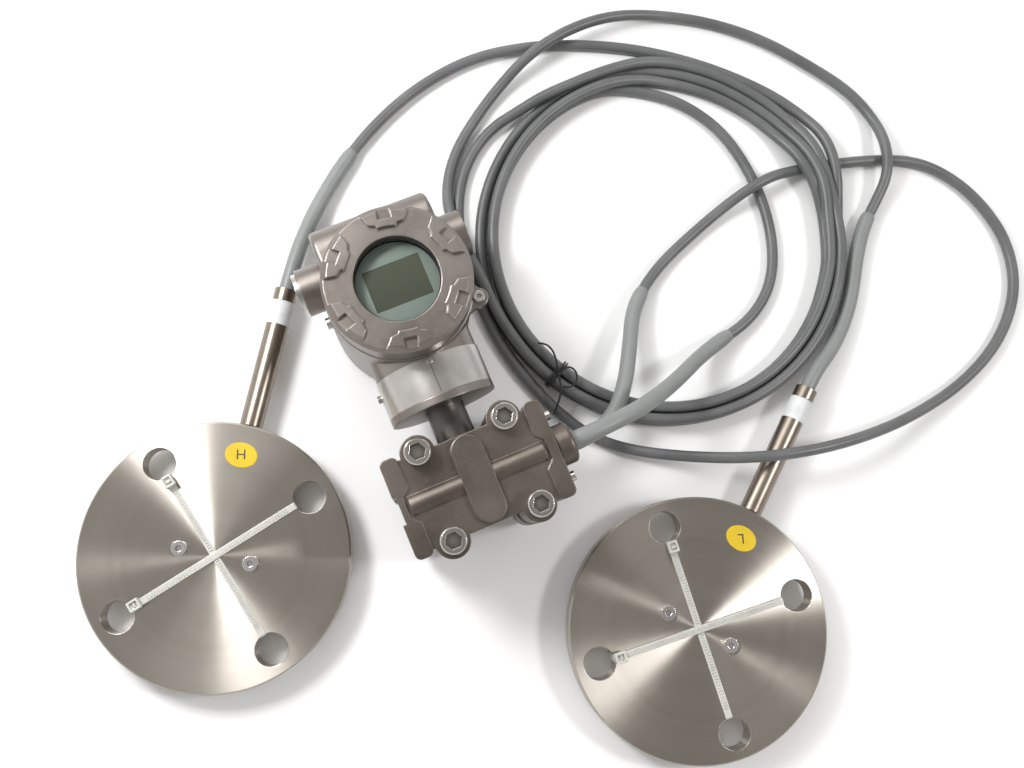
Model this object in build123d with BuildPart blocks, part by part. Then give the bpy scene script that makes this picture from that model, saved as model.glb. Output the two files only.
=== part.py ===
from build123d import *
import os
from math import cos, pi, radians, sin, tan

os.makedirs("parts", exist_ok=True)

# Differential pressure transmitter with two flanged remote seals, lying on its back.
# Frame: origin on the floor under the middle of the display, +Z up out of the display,
# the measuring cell towards -Y and the capillary outlets towards +X. Millimetres.

# Clearances
RUN_GAP = 0.05
LOOSE_GAP = 0.3
SEAT_GAP = 0.05

# Housing and covers
COVER_R = 47.0
COVER_HEIGHT = 24.0
COVER_WALL = 3.4
COVER_CHAMFER = 4.0
COVER_ROOF = 9.5
RIM_PADS = 6
PAD_RING_R = 33.0
PAD_RELIEF = 2.2
PAD_CORNER = 3.2
PAD_GAP_DEG = 20.0
PAD_LAP = 3.0
PAD_START_DEG = 20.0
POCKET_LENGTH = 9.0
POCKET_WIDTH = 8.5
HALF_BARREL = 36.0
BARREL_R = 47.5
SPIGOT_HEIGHT = 13.5
SPIGOT_WALL = 4.6
BLOCK_HALF_WIDTH = 40.5
BLOCK_TOP_Y = 60.0
BLOCK_FOOT_Y = 8.0
BLOCK_HALF_HEIGHT = 30.0
BLOCK_ROUND = 18.0
BLOCK_END_ROUND = 3.0
BOSS_R = 16.0
BOSS_Y = 28.0
BOSS_REACH = 58.0
CONDUIT_R = 9.25
CONDUIT_DEPTH = 24.0
WIREWAY_R = 8.0
PARTITION = 4.0
PARTITION_CLEAR = 1.0
FEEDTHROUGH_R = 4.0
NECK_R = 35.0
NECK_END_Y = -78.0
NECK_LIP = 5.5
NECK_LIP_RISE = 0.8
NECK_BORE_R = 9.0

# Window stack in the front cover
BEZEL_R = 27.8
BEZEL_TAPER = 1.8
BEZEL_DEPTH = 5.0
WINDOW_R = 31.0
WINDOW_THICKNESS = 6.0
WINDOW_GASKET = 1.0
RETAINER_R = 35.8
RETAINER_BORE = 27.2
RETAINER_HEIGHT = 4.0
RETAINER_NOTCHES = 4
RETAINER_NOTCH_DEPTH = 2.0
RETAINER_NOTCH_WIDTH = 3.0
EDGE_BREAK = 0.4
COLLAR_WALL = 2.0
ORING_WIRE_R = 0.9

# Electronics
BOARD_R = 33.0
BOARD_THICKNESS = 1.6
BOARD_STANDOFF = 6.0
MODULE_R = 32.0
MODULE_GAP = 1.4
FACE_CLEARANCE = 0.9
LCD_LENGTH = 37.6
LCD_WIDTH = 27.2
LCD_THICKNESS = 2.0
SLOT_LENGTH = 6.0
SLOT_WIDTH = 1.2
SLOT_DEPTH = 1.0
SLOT_REACH = 22.0
SLOT_DEG = 92.0
MODULE_SCREWS = 3
MODULE_SCREW_DEG = 90.0
MODULE_SCREW_REACH = 29.0
MODULE_SCREW_R = 1.4
MODULE_SCREW_HEAD_R = 2.2
MODULE_SCREW_HEAD = 1.0
POST_R = 2.8
TERMINAL_LENGTH = 54.0
TERMINAL_WIDTH = 24.0
TERMINAL_Y = -12.0
TERMINAL_Z = 36.0
TERMINAL_HEIGHT = 14.0
TERMINAL_COUNT = 3
TERMINAL_PITCH = 12.0
TERMINAL_SCREW_R = 3.0
TERMINAL_SCREW_HEIGHT = 4.7
DRIVER_SLOT = 1.0
BLOCK_POST_X = 22.5
BLOCK_SCREW_R = 1.6
BLOCK_SCREW_HEAD_R = 2.9
BLOCK_SCREW_HEAD = 1.5

# Small fixings on the housing
PLATE_THICKNESS = 0.7
PLATE_TOP_Y = -48.0
PLATE_SEAM = 0.6
PLATE_SCREW_R = 2.2
PLATE_SCREW_HEAD = 1.2
PLATE_SCREW_SHANK_R = 1.2
PLATE_SCREW_THREAD = 5.0
PLATE_SCREW_Y = -51.0
SET_SCREW_R = 2.5
SET_SCREW_Y = -57.0
SET_SCREW_RISE = 2.5
SET_SCREW_THREAD = 8.0
LOCK_SCREW_X = 45.0
LOCK_SCREW_Y = -24.5
LOCK_TAB_R = 6.0
LOCK_TAB_HEIGHT = 8.0
LOCK_TAB_DROP = 1.0
LOCK_SCREW_R = 2.5
LOCK_HEAD_R = 3.6
LOCK_HEAD = 2.5
LOCK_SOCKET_AF = 3.0
GROUND_SCREW_R = 4.0
GROUND_SCREW_HEAD = 3.0
GROUND_SCREW_Y = 3.0
GROUND_THREAD_R = 2.0
GROUND_THREAD = 5.0
PLUG_R = 8.75
PLUG_HEAD = 3.0
PLUG_HEAD_R = 14.0
PLUG_THREAD = 12.0
PLUG_SOCKET_AF = 10.0

# Measuring cell
CELL_Y = -131.0
TUBE_R = 13.0
TUBE_WALL = 3.0
TUBE_SOCKET_DEPTH = 14.0
CAPSULE_R = 27.5
CAPSULE_HALF = 12.0
FLANGE_GAP_HALF = 10.0
FLANGE_HALF = 42.0
FLANGE_HALF_X = 44.5
FLANGE_HALF_Y = 29.0
END_BLOCK_X = 53.0
END_BLOCK_HALF_Y = 32.0
END_BLOCK_RISE = 1.5
END_BLOCK_STEP = 2.2
END_BLOCK_LAP = 3.0
END_BLOCK_ROUND = 4.0
RELIEF_SLOPE = 2.5
EAR_R = 11.0
BOLT_PITCH_X = 57.0
BOLT_PITCH_Y = 57.5
BOLT_R = 5.5
BOLT_HEAD_R = 8.3
BOLT_HEAD = 11.0
BOLT_HEAD_CHAMFER = 0.8
BOLT_SOCKET_AF = 9.5
NUT_AF = 17.5
NUT_HEIGHT = 10.0
PAD_RISE = 4.0
PAD_R = 10.0
PAD_SPAN = 36.0
RIB_R = 8.0
RIB_RISE = 3.0
RIB_RELIEF = 17.6
PORT_OFFSET = 27.0
PORT_R = 8.0
PORT_DEPTH = 15.0
CHAMBER_R = 22.0
CHAMBER_DEPTH = 1.5
DISH_R = 21.0
PASSAGE_R = 2.5
CELL_SEAL_R = 24.5
CELL_SEAL_WIRE_R = 1.2
DIAPHRAGM_THICKNESS = 0.5
ADAPTER_R = 13.4
ADAPTER_END_X = 65.0
ADAPTER_ROUND = 3.0
ADAPTER_SPIGOT = 12.0
ADAPTER_FACE = 2.0
ADAPTER_SEAL = 0.8
ADAPTER_SEAL_R = 12.6
OIL_BORE_R = 1.25
PORT_SCREW_PITCH = 41.3
PORT_SCREW_R = 3.2
PORT_SCREW_HEAD = 5.0
PORT_SCREW_SHANK_R = 2.5
PORT_SCREW_THREAD = 12.0

# Remote seals
SEAL_R = 90.0
SEAL_BOLT_CIRCLE = 145.0
SEAL_HOLE_R = 11.0
SEAL_HOLES = 4
HOLE_DEG = 45.0
SEAL_THICKNESS = 16.0
SEAL_CHAMFER = 1.0
RAISED_FACE_R = 58.0
RAISED_FACE = 2.0
SEAL_DIAPHRAGM_R = 44.0
SEAL_DIAPHRAGM_SHEET = 0.4
DIAPHRAGM_RIDGES = (14.0, 22.0, 30.0, 38.0)
RIDGE_WIDTH = 2.0
CAP_WALL = 2.4
CAP_LIP = 2.0
STEM_R = 7.85
STEM_REACH = 189.0
STEM_SOCKET = 12.0
STEM_SPIGOT_R = 6.0
FERRULE_LENGTH = 9.0
STEM_LABEL_LENGTH = 17.0
STEM_LABEL_THICKNESS = 0.25
FILL_SCREW_R = 5.0
FILL_SCREW_RISE = 2.0
FILL_SCREW_HALF_PITCH = 24.0
FILL_THREAD_R = 3.0
FILL_THREAD = 7.0
FILL_SOCKET_AF = 4.0
FILL_DEG = 90.0
TIE_THICKNESS = 1.2
TIE_WIDTH = 4.8
TIE_HEAD = 8.0
TIE_HEAD_HEIGHT = 5.5
STICKER_LENGTH = 22.0
STICKER_WIDTH = 17.0
STICKER_THICKNESS = 0.2
STICKER_SPREAD = 69.0

HIGH_SEAL = (-176.5, -107.5)
HIGH_STEM_DEG = 55.0
LOW_SEAL = (105.5, -280.3)
LOW_STEM_DEG = 40.0

# Capillaries: armoured tube in a plastic sheath, with a thicker sleeve at each end
CORD_R = 4.0
SLEEVE_R = 5.6
SLEEVE_GAP = 0.1
BEND_SHARE = 0.45
HIGH_TAIL_RUN = 24.0
LOW_TAIL_RUN = 15.0
COIL_X = 200.0
COIL_Y = -16.0
COIL_INNER_R = 121.0
COIL_WIDTH = 17.5
COIL_HEIGHT = 17.0
PASSAGE_DEG = 4.6
PASSAGE_WIDTH = 15.0
PASSAGE_HEIGHT = 9.5
COIL_TIE_DEG = 208.4
COIL_TIE_WIRE_R = 0.7
COIL_TIE_KNOT_R = 1.1
COIL_TIE_KNOT = 8.0

# Heights and places that follow from the sizes above
AXIS_Z = HALF_BARREL + COVER_HEIGHT
FRONT_SHOULDER = AXIS_Z + HALF_BARREL
COVER_BORE_R = COVER_R - COVER_WALL
SPIGOT_R = COVER_BORE_R - LOOSE_GAP
CAVITY_R = SPIGOT_R - SPIGOT_WALL
PARTITION_Z = AXIS_Z + CONDUIT_R + PARTITION_CLEAR
BOARD_Z = PARTITION_Z + PARTITION + BOARD_STANDOFF
MODULE_Z = BOARD_Z + BOARD_THICKNESS
SEAL_BACK_Z = 2 * TIE_THICKNESS + 2 * SEAT_GAP
SEAL_FACE_Z = SEAL_BACK_Z + CAP_WALL
SEAL_PLATE_Z = SEAL_FACE_Z + RAISED_FACE
SEAL_TOP_Z = SEAL_PLATE_Z + SEAL_THICKNESS
STEM_Z = SEAL_PLATE_Z + SEAL_THICKNESS / 2
COIL_OUTER_R = COIL_INNER_R + COIL_WIDTH
PLATE_R = NECK_R + SEAT_GAP + PLATE_THICKNESS
FLANGE_FACE_Z = AXIS_Z + FLANGE_HALF
PORT_HIGH_Z = AXIS_Z + PORT_OFFSET
PORT_LOW_Z = AXIS_Z - PORT_OFFSET
FRONT_SIDE = Plane.XY.offset(FRONT_SHOULDER)


def on_seal(centre, reach, turn_deg, height=0.0):
    """A point at a distance and a bearing from a seal's centre."""
    bearing = radians(turn_deg)
    return (centre[0] + reach * cos(bearing), centre[1] + reach * sin(bearing), height)


HIGH_STEM_END = on_seal(HIGH_SEAL, STEM_REACH, HIGH_STEM_DEG, STEM_Z)
LOW_STEM_END = on_seal(LOW_SEAL, STEM_REACH, LOW_STEM_DEG, STEM_Z)

# Routes of the capillaries, from the transmitter to the coil and from the coil to the seals
HIGH_LEAD = [
    (ADAPTER_END_X, CELL_Y, PORT_HIGH_Z),
    (103, -131, 87),
    (150, -121, 46),
    (196, -104, 10),
    (240, -96, 5),
    (271, -70, 4.2),
    (287, -20, 4.2),
    (283, 38, 4.2),
    (262, 76, 4.2),
    (232, 99, 4.2),
    (205, 109, 4.2),
]
HIGH_TAIL = [
    HIGH_STEM_END,
    on_seal(HIGH_SEAL, STEM_REACH + HIGH_TAIL_RUN, HIGH_STEM_DEG, STEM_Z),
    (-32, 93, 10),
    (-3, 119, 6),
    (32, 142, 5.8),
    (75, 160, 5),
    (122, 168, 4.2),
    (166, 162, 4.2),
    (208, 148, 4.2),
    (250, 127, 4.2),
    (290, 98, 4.2),
    (324, 64, 4.2),
    (341, 38, 5),
    (349, 11, 13),
    (345.5, -17, 13),
    (335, -46, 4.6),
    (322, -74, 4.2),
]
LOW_LEAD = [
    (ADAPTER_END_X, CELL_Y, PORT_LOW_Z),
    (90, -131, 33),
    (110, -122.5, 32),
    (126, -105.5, 28),
    (141, -83, 20),
    (158, -55, 10),
    (187, -34, 5),
    (226, -19, 4.6),
    (256, -9.5, 6.5),
    (277, -5, 13),
    (297, -2.5, 13),
    (321, -3.5, 4.4),
    (349, -9, 4.2),
    (383, -18.5, 4.2),
    (412, -31, 4.2),
    (433, -54, 4.2),
    (446, -84, 4.2),
    (450, -117, 4.2),
    (439, -152, 4.2),
    (409, -182, 4.2),
    (367, -200, 5),
    (318, -207, 11),
    (272, -206, 24),
    (229, -200, 32),
    (186, -188, 32),
    (146, -169, 19),
    (113, -149, 7),
    (91, -128, 4.2),
    (77, -103, 4.2),
    (67, -77, 4.2),
    (60, -50, 4.2),
    (57, -22, 4.2),
    (57.5, 6, 4.2),
    (60.5, 33, 4.2),
    (67, 58, 4.2),
    (79, 81, 4.2),
    (96, 99, 4.2),
    (117, 111, 4.2),
    (140, 115, 4.2),
    (163, 111, 4.2),
]
LOW_TAIL = [
    LOW_STEM_END,
    on_seal(LOW_SEAL, STEM_REACH + LOW_TAIL_RUN, LOW_STEM_DEG, STEM_Z),
    (281, -140, 10),
    (300, -126, 6.5),
    (317, -107, 5.8),
    (333, -82, 5.8),
    (349, -62, 5.8),
    (366, -49, 7),
    (382, -33, 13),
    (391, -10, 13),
    (394, 15, 5),
    (386, 41, 4.2),
    (367, 69, 4.2),
    (341, 102, 4.2),
    (308, 130, 4.2),
    (271, 150, 5),
    (235, 159, 12),
    (200, 159, 15),
    (166, 152, 15),
    (139, 141, 7),
    (113, 126, 4.2),
    (84, 104, 4.2),
    (67, 80, 4.8),
    (60, 57, 11.5),
    (61, 33, 13.2),
    (67, 9, 12.7),
    (72, -14, 12.4),
]


# Front and rear covers: a threaded cap with six grip pads round its face
def cover_section(windowed):
    """Half section of a cover above the shoulder that it stops on."""
    rebate = 2 * ORING_WIRE_R + SEAT_GAP
    rebate_r = COVER_BORE_R + 2 * ORING_WIRE_R - SEAT_GAP
    ceiling = COVER_HEIGHT - COVER_ROOF
    points = [
        (COVER_BORE_R, rebate),
        (rebate_r, rebate),
        (rebate_r, 0),
        (COVER_R, 0),
        (COVER_R, COVER_HEIGHT - COVER_CHAMFER),
        (COVER_R - COVER_CHAMFER, COVER_HEIGHT),
    ]
    if windowed:
        glass_top = COVER_HEIGHT - BEZEL_DEPTH
        collar_r = RETAINER_R + RUN_GAP + COLLAR_WALL
        collar_foot = glass_top - WINDOW_GASKET - WINDOW_THICKNESS - RETAINER_HEIGHT
        retainer_top = collar_foot + RETAINER_HEIGHT
        points += [
            (BEZEL_R, COVER_HEIGHT),
            (BEZEL_R - BEZEL_TAPER, glass_top),
            (WINDOW_R + SEAT_GAP, glass_top),
            (WINDOW_R + SEAT_GAP, retainer_top),
            (RETAINER_R + RUN_GAP, retainer_top),
            (RETAINER_R + RUN_GAP, collar_foot),
            (collar_r, collar_foot),
            (collar_r, ceiling),
        ]
    else:
        points += [(0, COVER_HEIGHT), (0, ceiling)]
    points += [(COVER_BORE_R, ceiling), (COVER_BORE_R, rebate)]
    return points


def make_cover(windowed):
    """A cover standing on Z = 0 at its shoulder, with its face upwards."""
    gap_half = COVER_R * sin(radians(PAD_GAP_DEG / 2))
    gap_reach = (COVER_R - PAD_RING_R) / 2
    pad_gap = [
        (-gap_reach - PAD_LAP, -gap_half - PAD_CORNER),
        (-gap_reach, -gap_half - PAD_CORNER),
        (PAD_CORNER - gap_reach, -gap_half),
        (gap_reach + PAD_LAP, -gap_half),
        (gap_reach + PAD_LAP, gap_half),
        (PAD_CORNER - gap_reach, gap_half),
        (-gap_reach, gap_half + PAD_CORNER),
        (-gap_reach - PAD_LAP, gap_half + PAD_CORNER),
    ]
    with BuildPart() as cover:
        with BuildSketch(Plane.XZ):
            with BuildLine():
                Polyline(*cover_section(windowed))
            make_face()
        revolve(axis=Axis.Z)
        # Sunk gaps between the grip pads
        with BuildSketch(Plane.XY.offset(COVER_HEIGHT - PAD_RELIEF)):
            with PolarLocations((PAD_RING_R + COVER_R) / 2, RIM_PADS,
                                start_angle=PAD_START_DEG + 180 / RIM_PADS):
                Polygon(*pad_gap, align=None)
        extrude(amount=PAD_RELIEF, mode=Mode.SUBTRACT)
        if windowed:
            # A lower ring round the window, inside the pads
            with BuildSketch(Plane.XY.offset(COVER_HEIGHT - PAD_RELIEF)):
                Circle(PAD_RING_R)
            extrude(amount=PAD_RELIEF, mode=Mode.SUBTRACT)
        # A square pocket in each pad, open towards the rim
        with BuildSketch(Plane.XY.offset(COVER_HEIGHT - PAD_RELIEF)):
            with PolarLocations(COVER_R - POCKET_LENGTH / 2, RIM_PADS, start_angle=PAD_START_DEG):
                Rectangle(POCKET_LENGTH, POCKET_WIDTH)
        extrude(amount=PAD_RELIEF, mode=Mode.SUBTRACT)
    return cover.part


def make_cover_oring():
    """The ring in the cover's mouth, round the spigot, standing on Z = 0."""
    ring_r = COVER_BORE_R + ORING_WIRE_R - 2 * SEAT_GAP
    with BuildPart() as ring:
        with BuildSketch(Plane.XZ):
            with Locations((ring_r, ORING_WIRE_R + SEAT_GAP / 2)):
                Circle(ORING_WIRE_R)
        revolve(axis=Axis.Z)
    return ring.part


cover_front = make_cover(True)
cover_rear = make_cover(False)
oring_blank = make_cover_oring()

with BuildPart() as front_cover:
    add(Location((0, 0, FRONT_SHOULDER)) * cover_front)
front_cover.part.label = "front_cover"
export_step(front_cover.part, "parts/front_cover.step")

with BuildPart() as rear_cover:
    add(Location((0, 0, COVER_HEIGHT)) * cover_rear.mirror(Plane.XY))
rear_cover.part.label = "rear_cover"
export_step(rear_cover.part, "parts/rear_cover.step")

with BuildPart() as front_cover_oring:
    add(Location((0, 0, FRONT_SHOULDER)) * oring_blank)
front_cover_oring.part.label = "front_cover_oring"
export_step(front_cover_oring.part, "parts/front_cover_oring.step")

with BuildPart() as rear_cover_oring:
    add(Location((0, 0, COVER_HEIGHT)) * oring_blank.mirror(Plane.XY))
rear_cover_oring.part.label = "rear_cover_oring"
export_step(rear_cover_oring.part, "parts/rear_cover_oring.step")

# Window stack
WINDOW_TOP_Z = FRONT_SHOULDER + COVER_HEIGHT - BEZEL_DEPTH
GLASS_Z = WINDOW_TOP_Z - WINDOW_GASKET - WINDOW_THICKNESS
RETAINER_Z = GLASS_Z - RETAINER_HEIGHT

with BuildPart() as window_gasket:
    with BuildSketch(Plane.XY.offset(WINDOW_TOP_Z - WINDOW_GASKET)):
        Circle(WINDOW_R - SEAT_GAP)
        Circle(BEZEL_R - BEZEL_TAPER, mode=Mode.SUBTRACT)
    extrude(amount=WINDOW_GASKET)
window_gasket.part.label = "window_gasket"
export_step(window_gasket.part, "parts/window_gasket.step")

with BuildPart() as window_glass:
    with BuildSketch(Plane.XY.offset(GLASS_Z)):
        Circle(WINDOW_R - SEAT_GAP)
    extrude(amount=WINDOW_THICKNESS)
    chamfer(window_glass.edges(), length=EDGE_BREAK)
window_glass.part.label = "window_glass"
export_step(window_glass.part, "parts/window_glass.step")

with BuildPart() as window_retainer:
    with BuildSketch(Plane.XY.offset(RETAINER_Z)):
        Circle(RETAINER_R)
        Circle(RETAINER_BORE, mode=Mode.SUBTRACT)
        with PolarLocations(RETAINER_BORE, RETAINER_NOTCHES):
            Rectangle(2 * RETAINER_NOTCH_DEPTH, RETAINER_NOTCH_WIDTH, mode=Mode.SUBTRACT)
    extrude(amount=RETAINER_HEIGHT)
window_retainer.part.label = "window_retainer"
export_step(window_retainer.part, "parts/window_retainer.step")

# Housing: barrel with two chambers, transverse block with the conduit bosses, and the neck
BARREL_MID = Plane((0, 0, AXIS_Z))
NECK_END = Plane((0, NECK_END_Y, AXIS_Z), x_dir=(1, 0, 0), z_dir=(0, 1, 0))
LEFT_END = Plane((-BOSS_REACH, BOSS_Y, AXIS_Z), x_dir=(0, 1, 0), z_dir=(1, 0, 0))
LOCK_TAB = [(38, -8), (49.2, -20.8), (43, -29.7), (32, -33)]

BLOCK_SECTION = Plane((0, (BLOCK_TOP_Y + BLOCK_FOOT_Y) / 2, AXIS_Z), x_dir=(0, 1, 0),
                      z_dir=(1, 0, 0))
with BuildPart() as transverse_block:
    with BuildSketch(BLOCK_SECTION):
        RectangleRounded(BLOCK_TOP_Y - BLOCK_FOOT_Y, 2 * BLOCK_HALF_HEIGHT, radius=BLOCK_ROUND)
    extrude(amount=BLOCK_HALF_WIDTH, both=True)
    fillet(transverse_block.edges().group_by(Axis.X)[0], radius=BLOCK_END_ROUND)
    fillet(transverse_block.edges().group_by(Axis.X)[-1], radius=BLOCK_END_ROUND)

with BuildPart() as housing_body:
    with BuildSketch(BARREL_MID):
        Circle(BARREL_R)
    extrude(amount=HALF_BARREL, both=True)
    # Transverse block behind the display
    add(transverse_block.part)
    # Conduit bosses
    with BuildSketch(LEFT_END):
        Circle(BOSS_R)
    extrude(amount=2 * BOSS_REACH)
    # Neck and its end lip
    with BuildSketch(NECK_END):
        Circle(NECK_R)
    extrude(amount=-NECK_END_Y)
    with BuildSketch(NECK_END):
        Circle(NECK_R + NECK_LIP_RISE)
    extrude(amount=NECK_LIP)
    # Spigots that the covers screw over
    with BuildSketch(BARREL_MID):
        Circle(SPIGOT_R)
    extrude(amount=HALF_BARREL + SPIGOT_HEIGHT, both=True)
    # Tab for the cover lock screw
    with BuildSketch(FRONT_SIDE.offset(-LOCK_TAB_HEIGHT)):
        Polygon(*LOCK_TAB, align=None)
        with Locations((LOCK_SCREW_X, LOCK_SCREW_Y)):
            Circle(LOCK_TAB_R)
    extrude(amount=LOCK_TAB_HEIGHT - LOCK_TAB_DROP)
    # Electronics chamber in front, wiring chamber behind
    with BuildSketch(Plane.XY.offset(PARTITION_Z + PARTITION)):
        Circle(CAVITY_R)
    extrude(amount=FRONT_SHOULDER + SPIGOT_HEIGHT - PARTITION_Z - PARTITION, mode=Mode.SUBTRACT)
    with BuildSketch(Plane.XY.offset(COVER_HEIGHT - SPIGOT_HEIGHT)):
        Circle(CAVITY_R)
    extrude(amount=PARTITION_Z - COVER_HEIGHT + SPIGOT_HEIGHT, mode=Mode.SUBTRACT)
    # Posts for the electronics and for the terminal block
    with BuildSketch(Plane.XY.offset(PARTITION_Z + PARTITION)):
        with PolarLocations(MODULE_SCREW_REACH, MODULE_SCREWS, start_angle=MODULE_SCREW_DEG):
            Circle(POST_R)
    extrude(amount=BOARD_STANDOFF)
    with BuildSketch(Plane.XY.offset(TERMINAL_Z + TERMINAL_HEIGHT)):
        with Locations((-BLOCK_POST_X, TERMINAL_Y), (BLOCK_POST_X, TERMINAL_Y)):
            Circle(POST_R)
    extrude(amount=PARTITION_Z - TERMINAL_Z - TERMINAL_HEIGHT)
    with BuildSketch(Plane.XY.offset(PARTITION_Z)):
        Circle(FEEDTHROUGH_R)
    extrude(amount=PARTITION, mode=Mode.SUBTRACT)
    # Conduit entries into the wiring chamber
    with BuildSketch(LEFT_END):
        Circle(WIREWAY_R)
    extrude(amount=2 * BOSS_REACH, mode=Mode.SUBTRACT)
    with BuildSketch(LEFT_END):
        Circle(PLUG_R)
    extrude(amount=CONDUIT_DEPTH, mode=Mode.SUBTRACT)
    with BuildSketch(LEFT_END.offset(2 * BOSS_REACH - CONDUIT_DEPTH)):
        Circle(CONDUIT_R)
    extrude(amount=CONDUIT_DEPTH, mode=Mode.SUBTRACT)
    # Socket of the sensor tube and the wireway above it
    with BuildSketch(NECK_END):
        Circle(TUBE_R + RUN_GAP)
    extrude(amount=TUBE_SOCKET_DEPTH, mode=Mode.SUBTRACT)
    with BuildSketch(NECK_END):
        Circle(NECK_BORE_R)
    extrude(amount=-NECK_END_Y - CAVITY_R + SPIGOT_WALL, mode=Mode.SUBTRACT)
    # Tapped holes of the small screws
    with BuildSketch(Plane.XY.offset(PARTITION_Z + PARTITION)):
        with PolarLocations(MODULE_SCREW_REACH, MODULE_SCREWS, start_angle=MODULE_SCREW_DEG):
            Circle(MODULE_SCREW_R + SEAT_GAP)
    extrude(amount=BOARD_STANDOFF, mode=Mode.SUBTRACT)
    with BuildSketch(Plane.XY.offset(TERMINAL_Z + TERMINAL_HEIGHT)):
        with Locations((-BLOCK_POST_X, TERMINAL_Y), (BLOCK_POST_X, TERMINAL_Y)):
            Circle(BLOCK_SCREW_R + SEAT_GAP)
    extrude(amount=PARTITION_Z - TERMINAL_Z - TERMINAL_HEIGHT, mode=Mode.SUBTRACT)
    with BuildSketch(FRONT_SIDE.offset(-LOCK_TAB_HEIGHT)):
        with Locations((LOCK_SCREW_X, LOCK_SCREW_Y)):
            Circle(LOCK_SCREW_R + SEAT_GAP)
    extrude(amount=LOCK_TAB_HEIGHT, mode=Mode.SUBTRACT)
    with BuildSketch(Plane((-BARREL_R, GROUND_SCREW_Y, AXIS_Z), x_dir=(0, 1, 0), z_dir=(1, 0, 0))):
        Circle(GROUND_THREAD_R + SEAT_GAP)
    extrude(amount=GROUND_THREAD, mode=Mode.SUBTRACT)
    with BuildSketch(Plane((-NECK_R, SET_SCREW_Y, AXIS_Z), x_dir=(0, 1, 0), z_dir=(1, 0, 0))):
        Circle(SET_SCREW_R + SEAT_GAP)
    extrude(amount=SET_SCREW_THREAD, mode=Mode.SUBTRACT)
    with BuildSketch(Plane((0, PLATE_SCREW_Y, AXIS_Z + NECK_R))):
        Circle(PLATE_SCREW_SHANK_R + SEAT_GAP)
    extrude(amount=-PLATE_SCREW_THREAD, mode=Mode.SUBTRACT)
housing_body.part.label = "housing_body"
export_step(housing_body.part, "parts/housing_body.step")


def round_screw(plane, shank_r, shank, head_r, head, socket_af=0.0):
    """A screw whose head stands on the plane and whose shank runs behind it."""
    with BuildPart() as screw:
        with BuildSketch(plane):
            Circle(head_r)
        extrude(amount=head)
        if socket_af:
            with BuildSketch(plane.offset(head)):
                RegularPolygon(socket_af / 2, 6, major_radius=False)
            extrude(amount=-head / 2, mode=Mode.SUBTRACT)
        with BuildSketch(plane):
            Circle(shank_r)
        extrude(amount=-shank)
    return screw.part


with BuildPart() as cover_lock_screw:
    add(round_screw(Plane((LOCK_SCREW_X, LOCK_SCREW_Y, FRONT_SHOULDER - LOCK_TAB_DROP)),
                    LOCK_SCREW_R, LOCK_TAB_HEIGHT - LOCK_TAB_DROP, LOCK_HEAD_R, LOCK_HEAD,
                    LOCK_SOCKET_AF))
cover_lock_screw.part.label = "cover_lock_screw"
export_step(cover_lock_screw.part, "parts/cover_lock_screw.step")

with BuildPart() as ground_screw:
    add(round_screw(Plane((-BARREL_R, GROUND_SCREW_Y, AXIS_Z), x_dir=(0, 1, 0), z_dir=(-1, 0, 0)),
                    GROUND_THREAD_R, GROUND_THREAD, GROUND_SCREW_R, GROUND_SCREW_HEAD))
ground_screw.part.label = "ground_screw"
export_step(ground_screw.part, "parts/ground_screw.step")

with BuildPart() as swivel_set_screw:
    with BuildSketch(Plane((-PLATE_R - SET_SCREW_RISE, SET_SCREW_Y, AXIS_Z), x_dir=(0, 1, 0),
                           z_dir=(1, 0, 0))):
        Circle(SET_SCREW_R)
    extrude(amount=SET_SCREW_RISE + PLATE_R - NECK_R + SET_SCREW_THREAD)
swivel_set_screw.part.label = "swivel_set_screw"
export_step(swivel_set_screw.part, "parts/swivel_set_screw.step")

# Nameplate: a thin blank band round the neck, its ends meeting under one small screw
with BuildPart() as nameplate:
    with BuildSketch(Plane((0, PLATE_TOP_Y, AXIS_Z), x_dir=(1, 0, 0), z_dir=(0, -1, 0))):
        Circle(PLATE_R)
        Circle(NECK_R + SEAT_GAP, mode=Mode.SUBTRACT)
    extrude(amount=PLATE_TOP_Y - NECK_END_Y - NECK_LIP)
    with BuildSketch(Plane((0, PLATE_TOP_Y, AXIS_Z + NECK_R), x_dir=(1, 0, 0), z_dir=(0, -1, 0))):
        Rectangle(PLATE_SEAM, 4 * PLATE_THICKNESS)
    extrude(amount=PLATE_TOP_Y - NECK_END_Y, mode=Mode.SUBTRACT)
    with BuildSketch(Plane((0, PLATE_SCREW_Y, AXIS_Z + NECK_R / 2))):
        Circle(PLATE_SCREW_SHANK_R + LOOSE_GAP)
    extrude(amount=NECK_R, mode=Mode.SUBTRACT)
    with BuildSketch(Plane((0, SET_SCREW_Y, AXIS_Z), x_dir=(0, 1, 0), z_dir=(-1, 0, 0))):
        Circle(SET_SCREW_R + LOOSE_GAP)
    extrude(amount=2 * NECK_R, mode=Mode.SUBTRACT)
nameplate.part.label = "nameplate"
export_step(nameplate.part, "parts/nameplate.step")

with BuildPart() as nameplate_screw:
    add(round_screw(Plane((0, PLATE_SCREW_Y, AXIS_Z + PLATE_R)), PLATE_SCREW_SHANK_R,
                    PLATE_SCREW_THREAD, PLATE_SCREW_R, PLATE_SCREW_HEAD))
nameplate_screw.part.label = "nameplate_screw"
export_step(nameplate_screw.part, "parts/nameplate_screw.step")

with BuildPart() as conduit_plug:
    add(round_screw(Plane((-BOSS_REACH, BOSS_Y, AXIS_Z), x_dir=(0, 1, 0), z_dir=(-1, 0, 0)),
                    PLUG_R - SEAT_GAP, PLUG_THREAD, PLUG_HEAD_R, PLUG_HEAD, PLUG_SOCKET_AF))
conduit_plug.part.label = "conduit_plug"
export_step(conduit_plug.part, "parts/conduit_plug.step")

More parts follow.
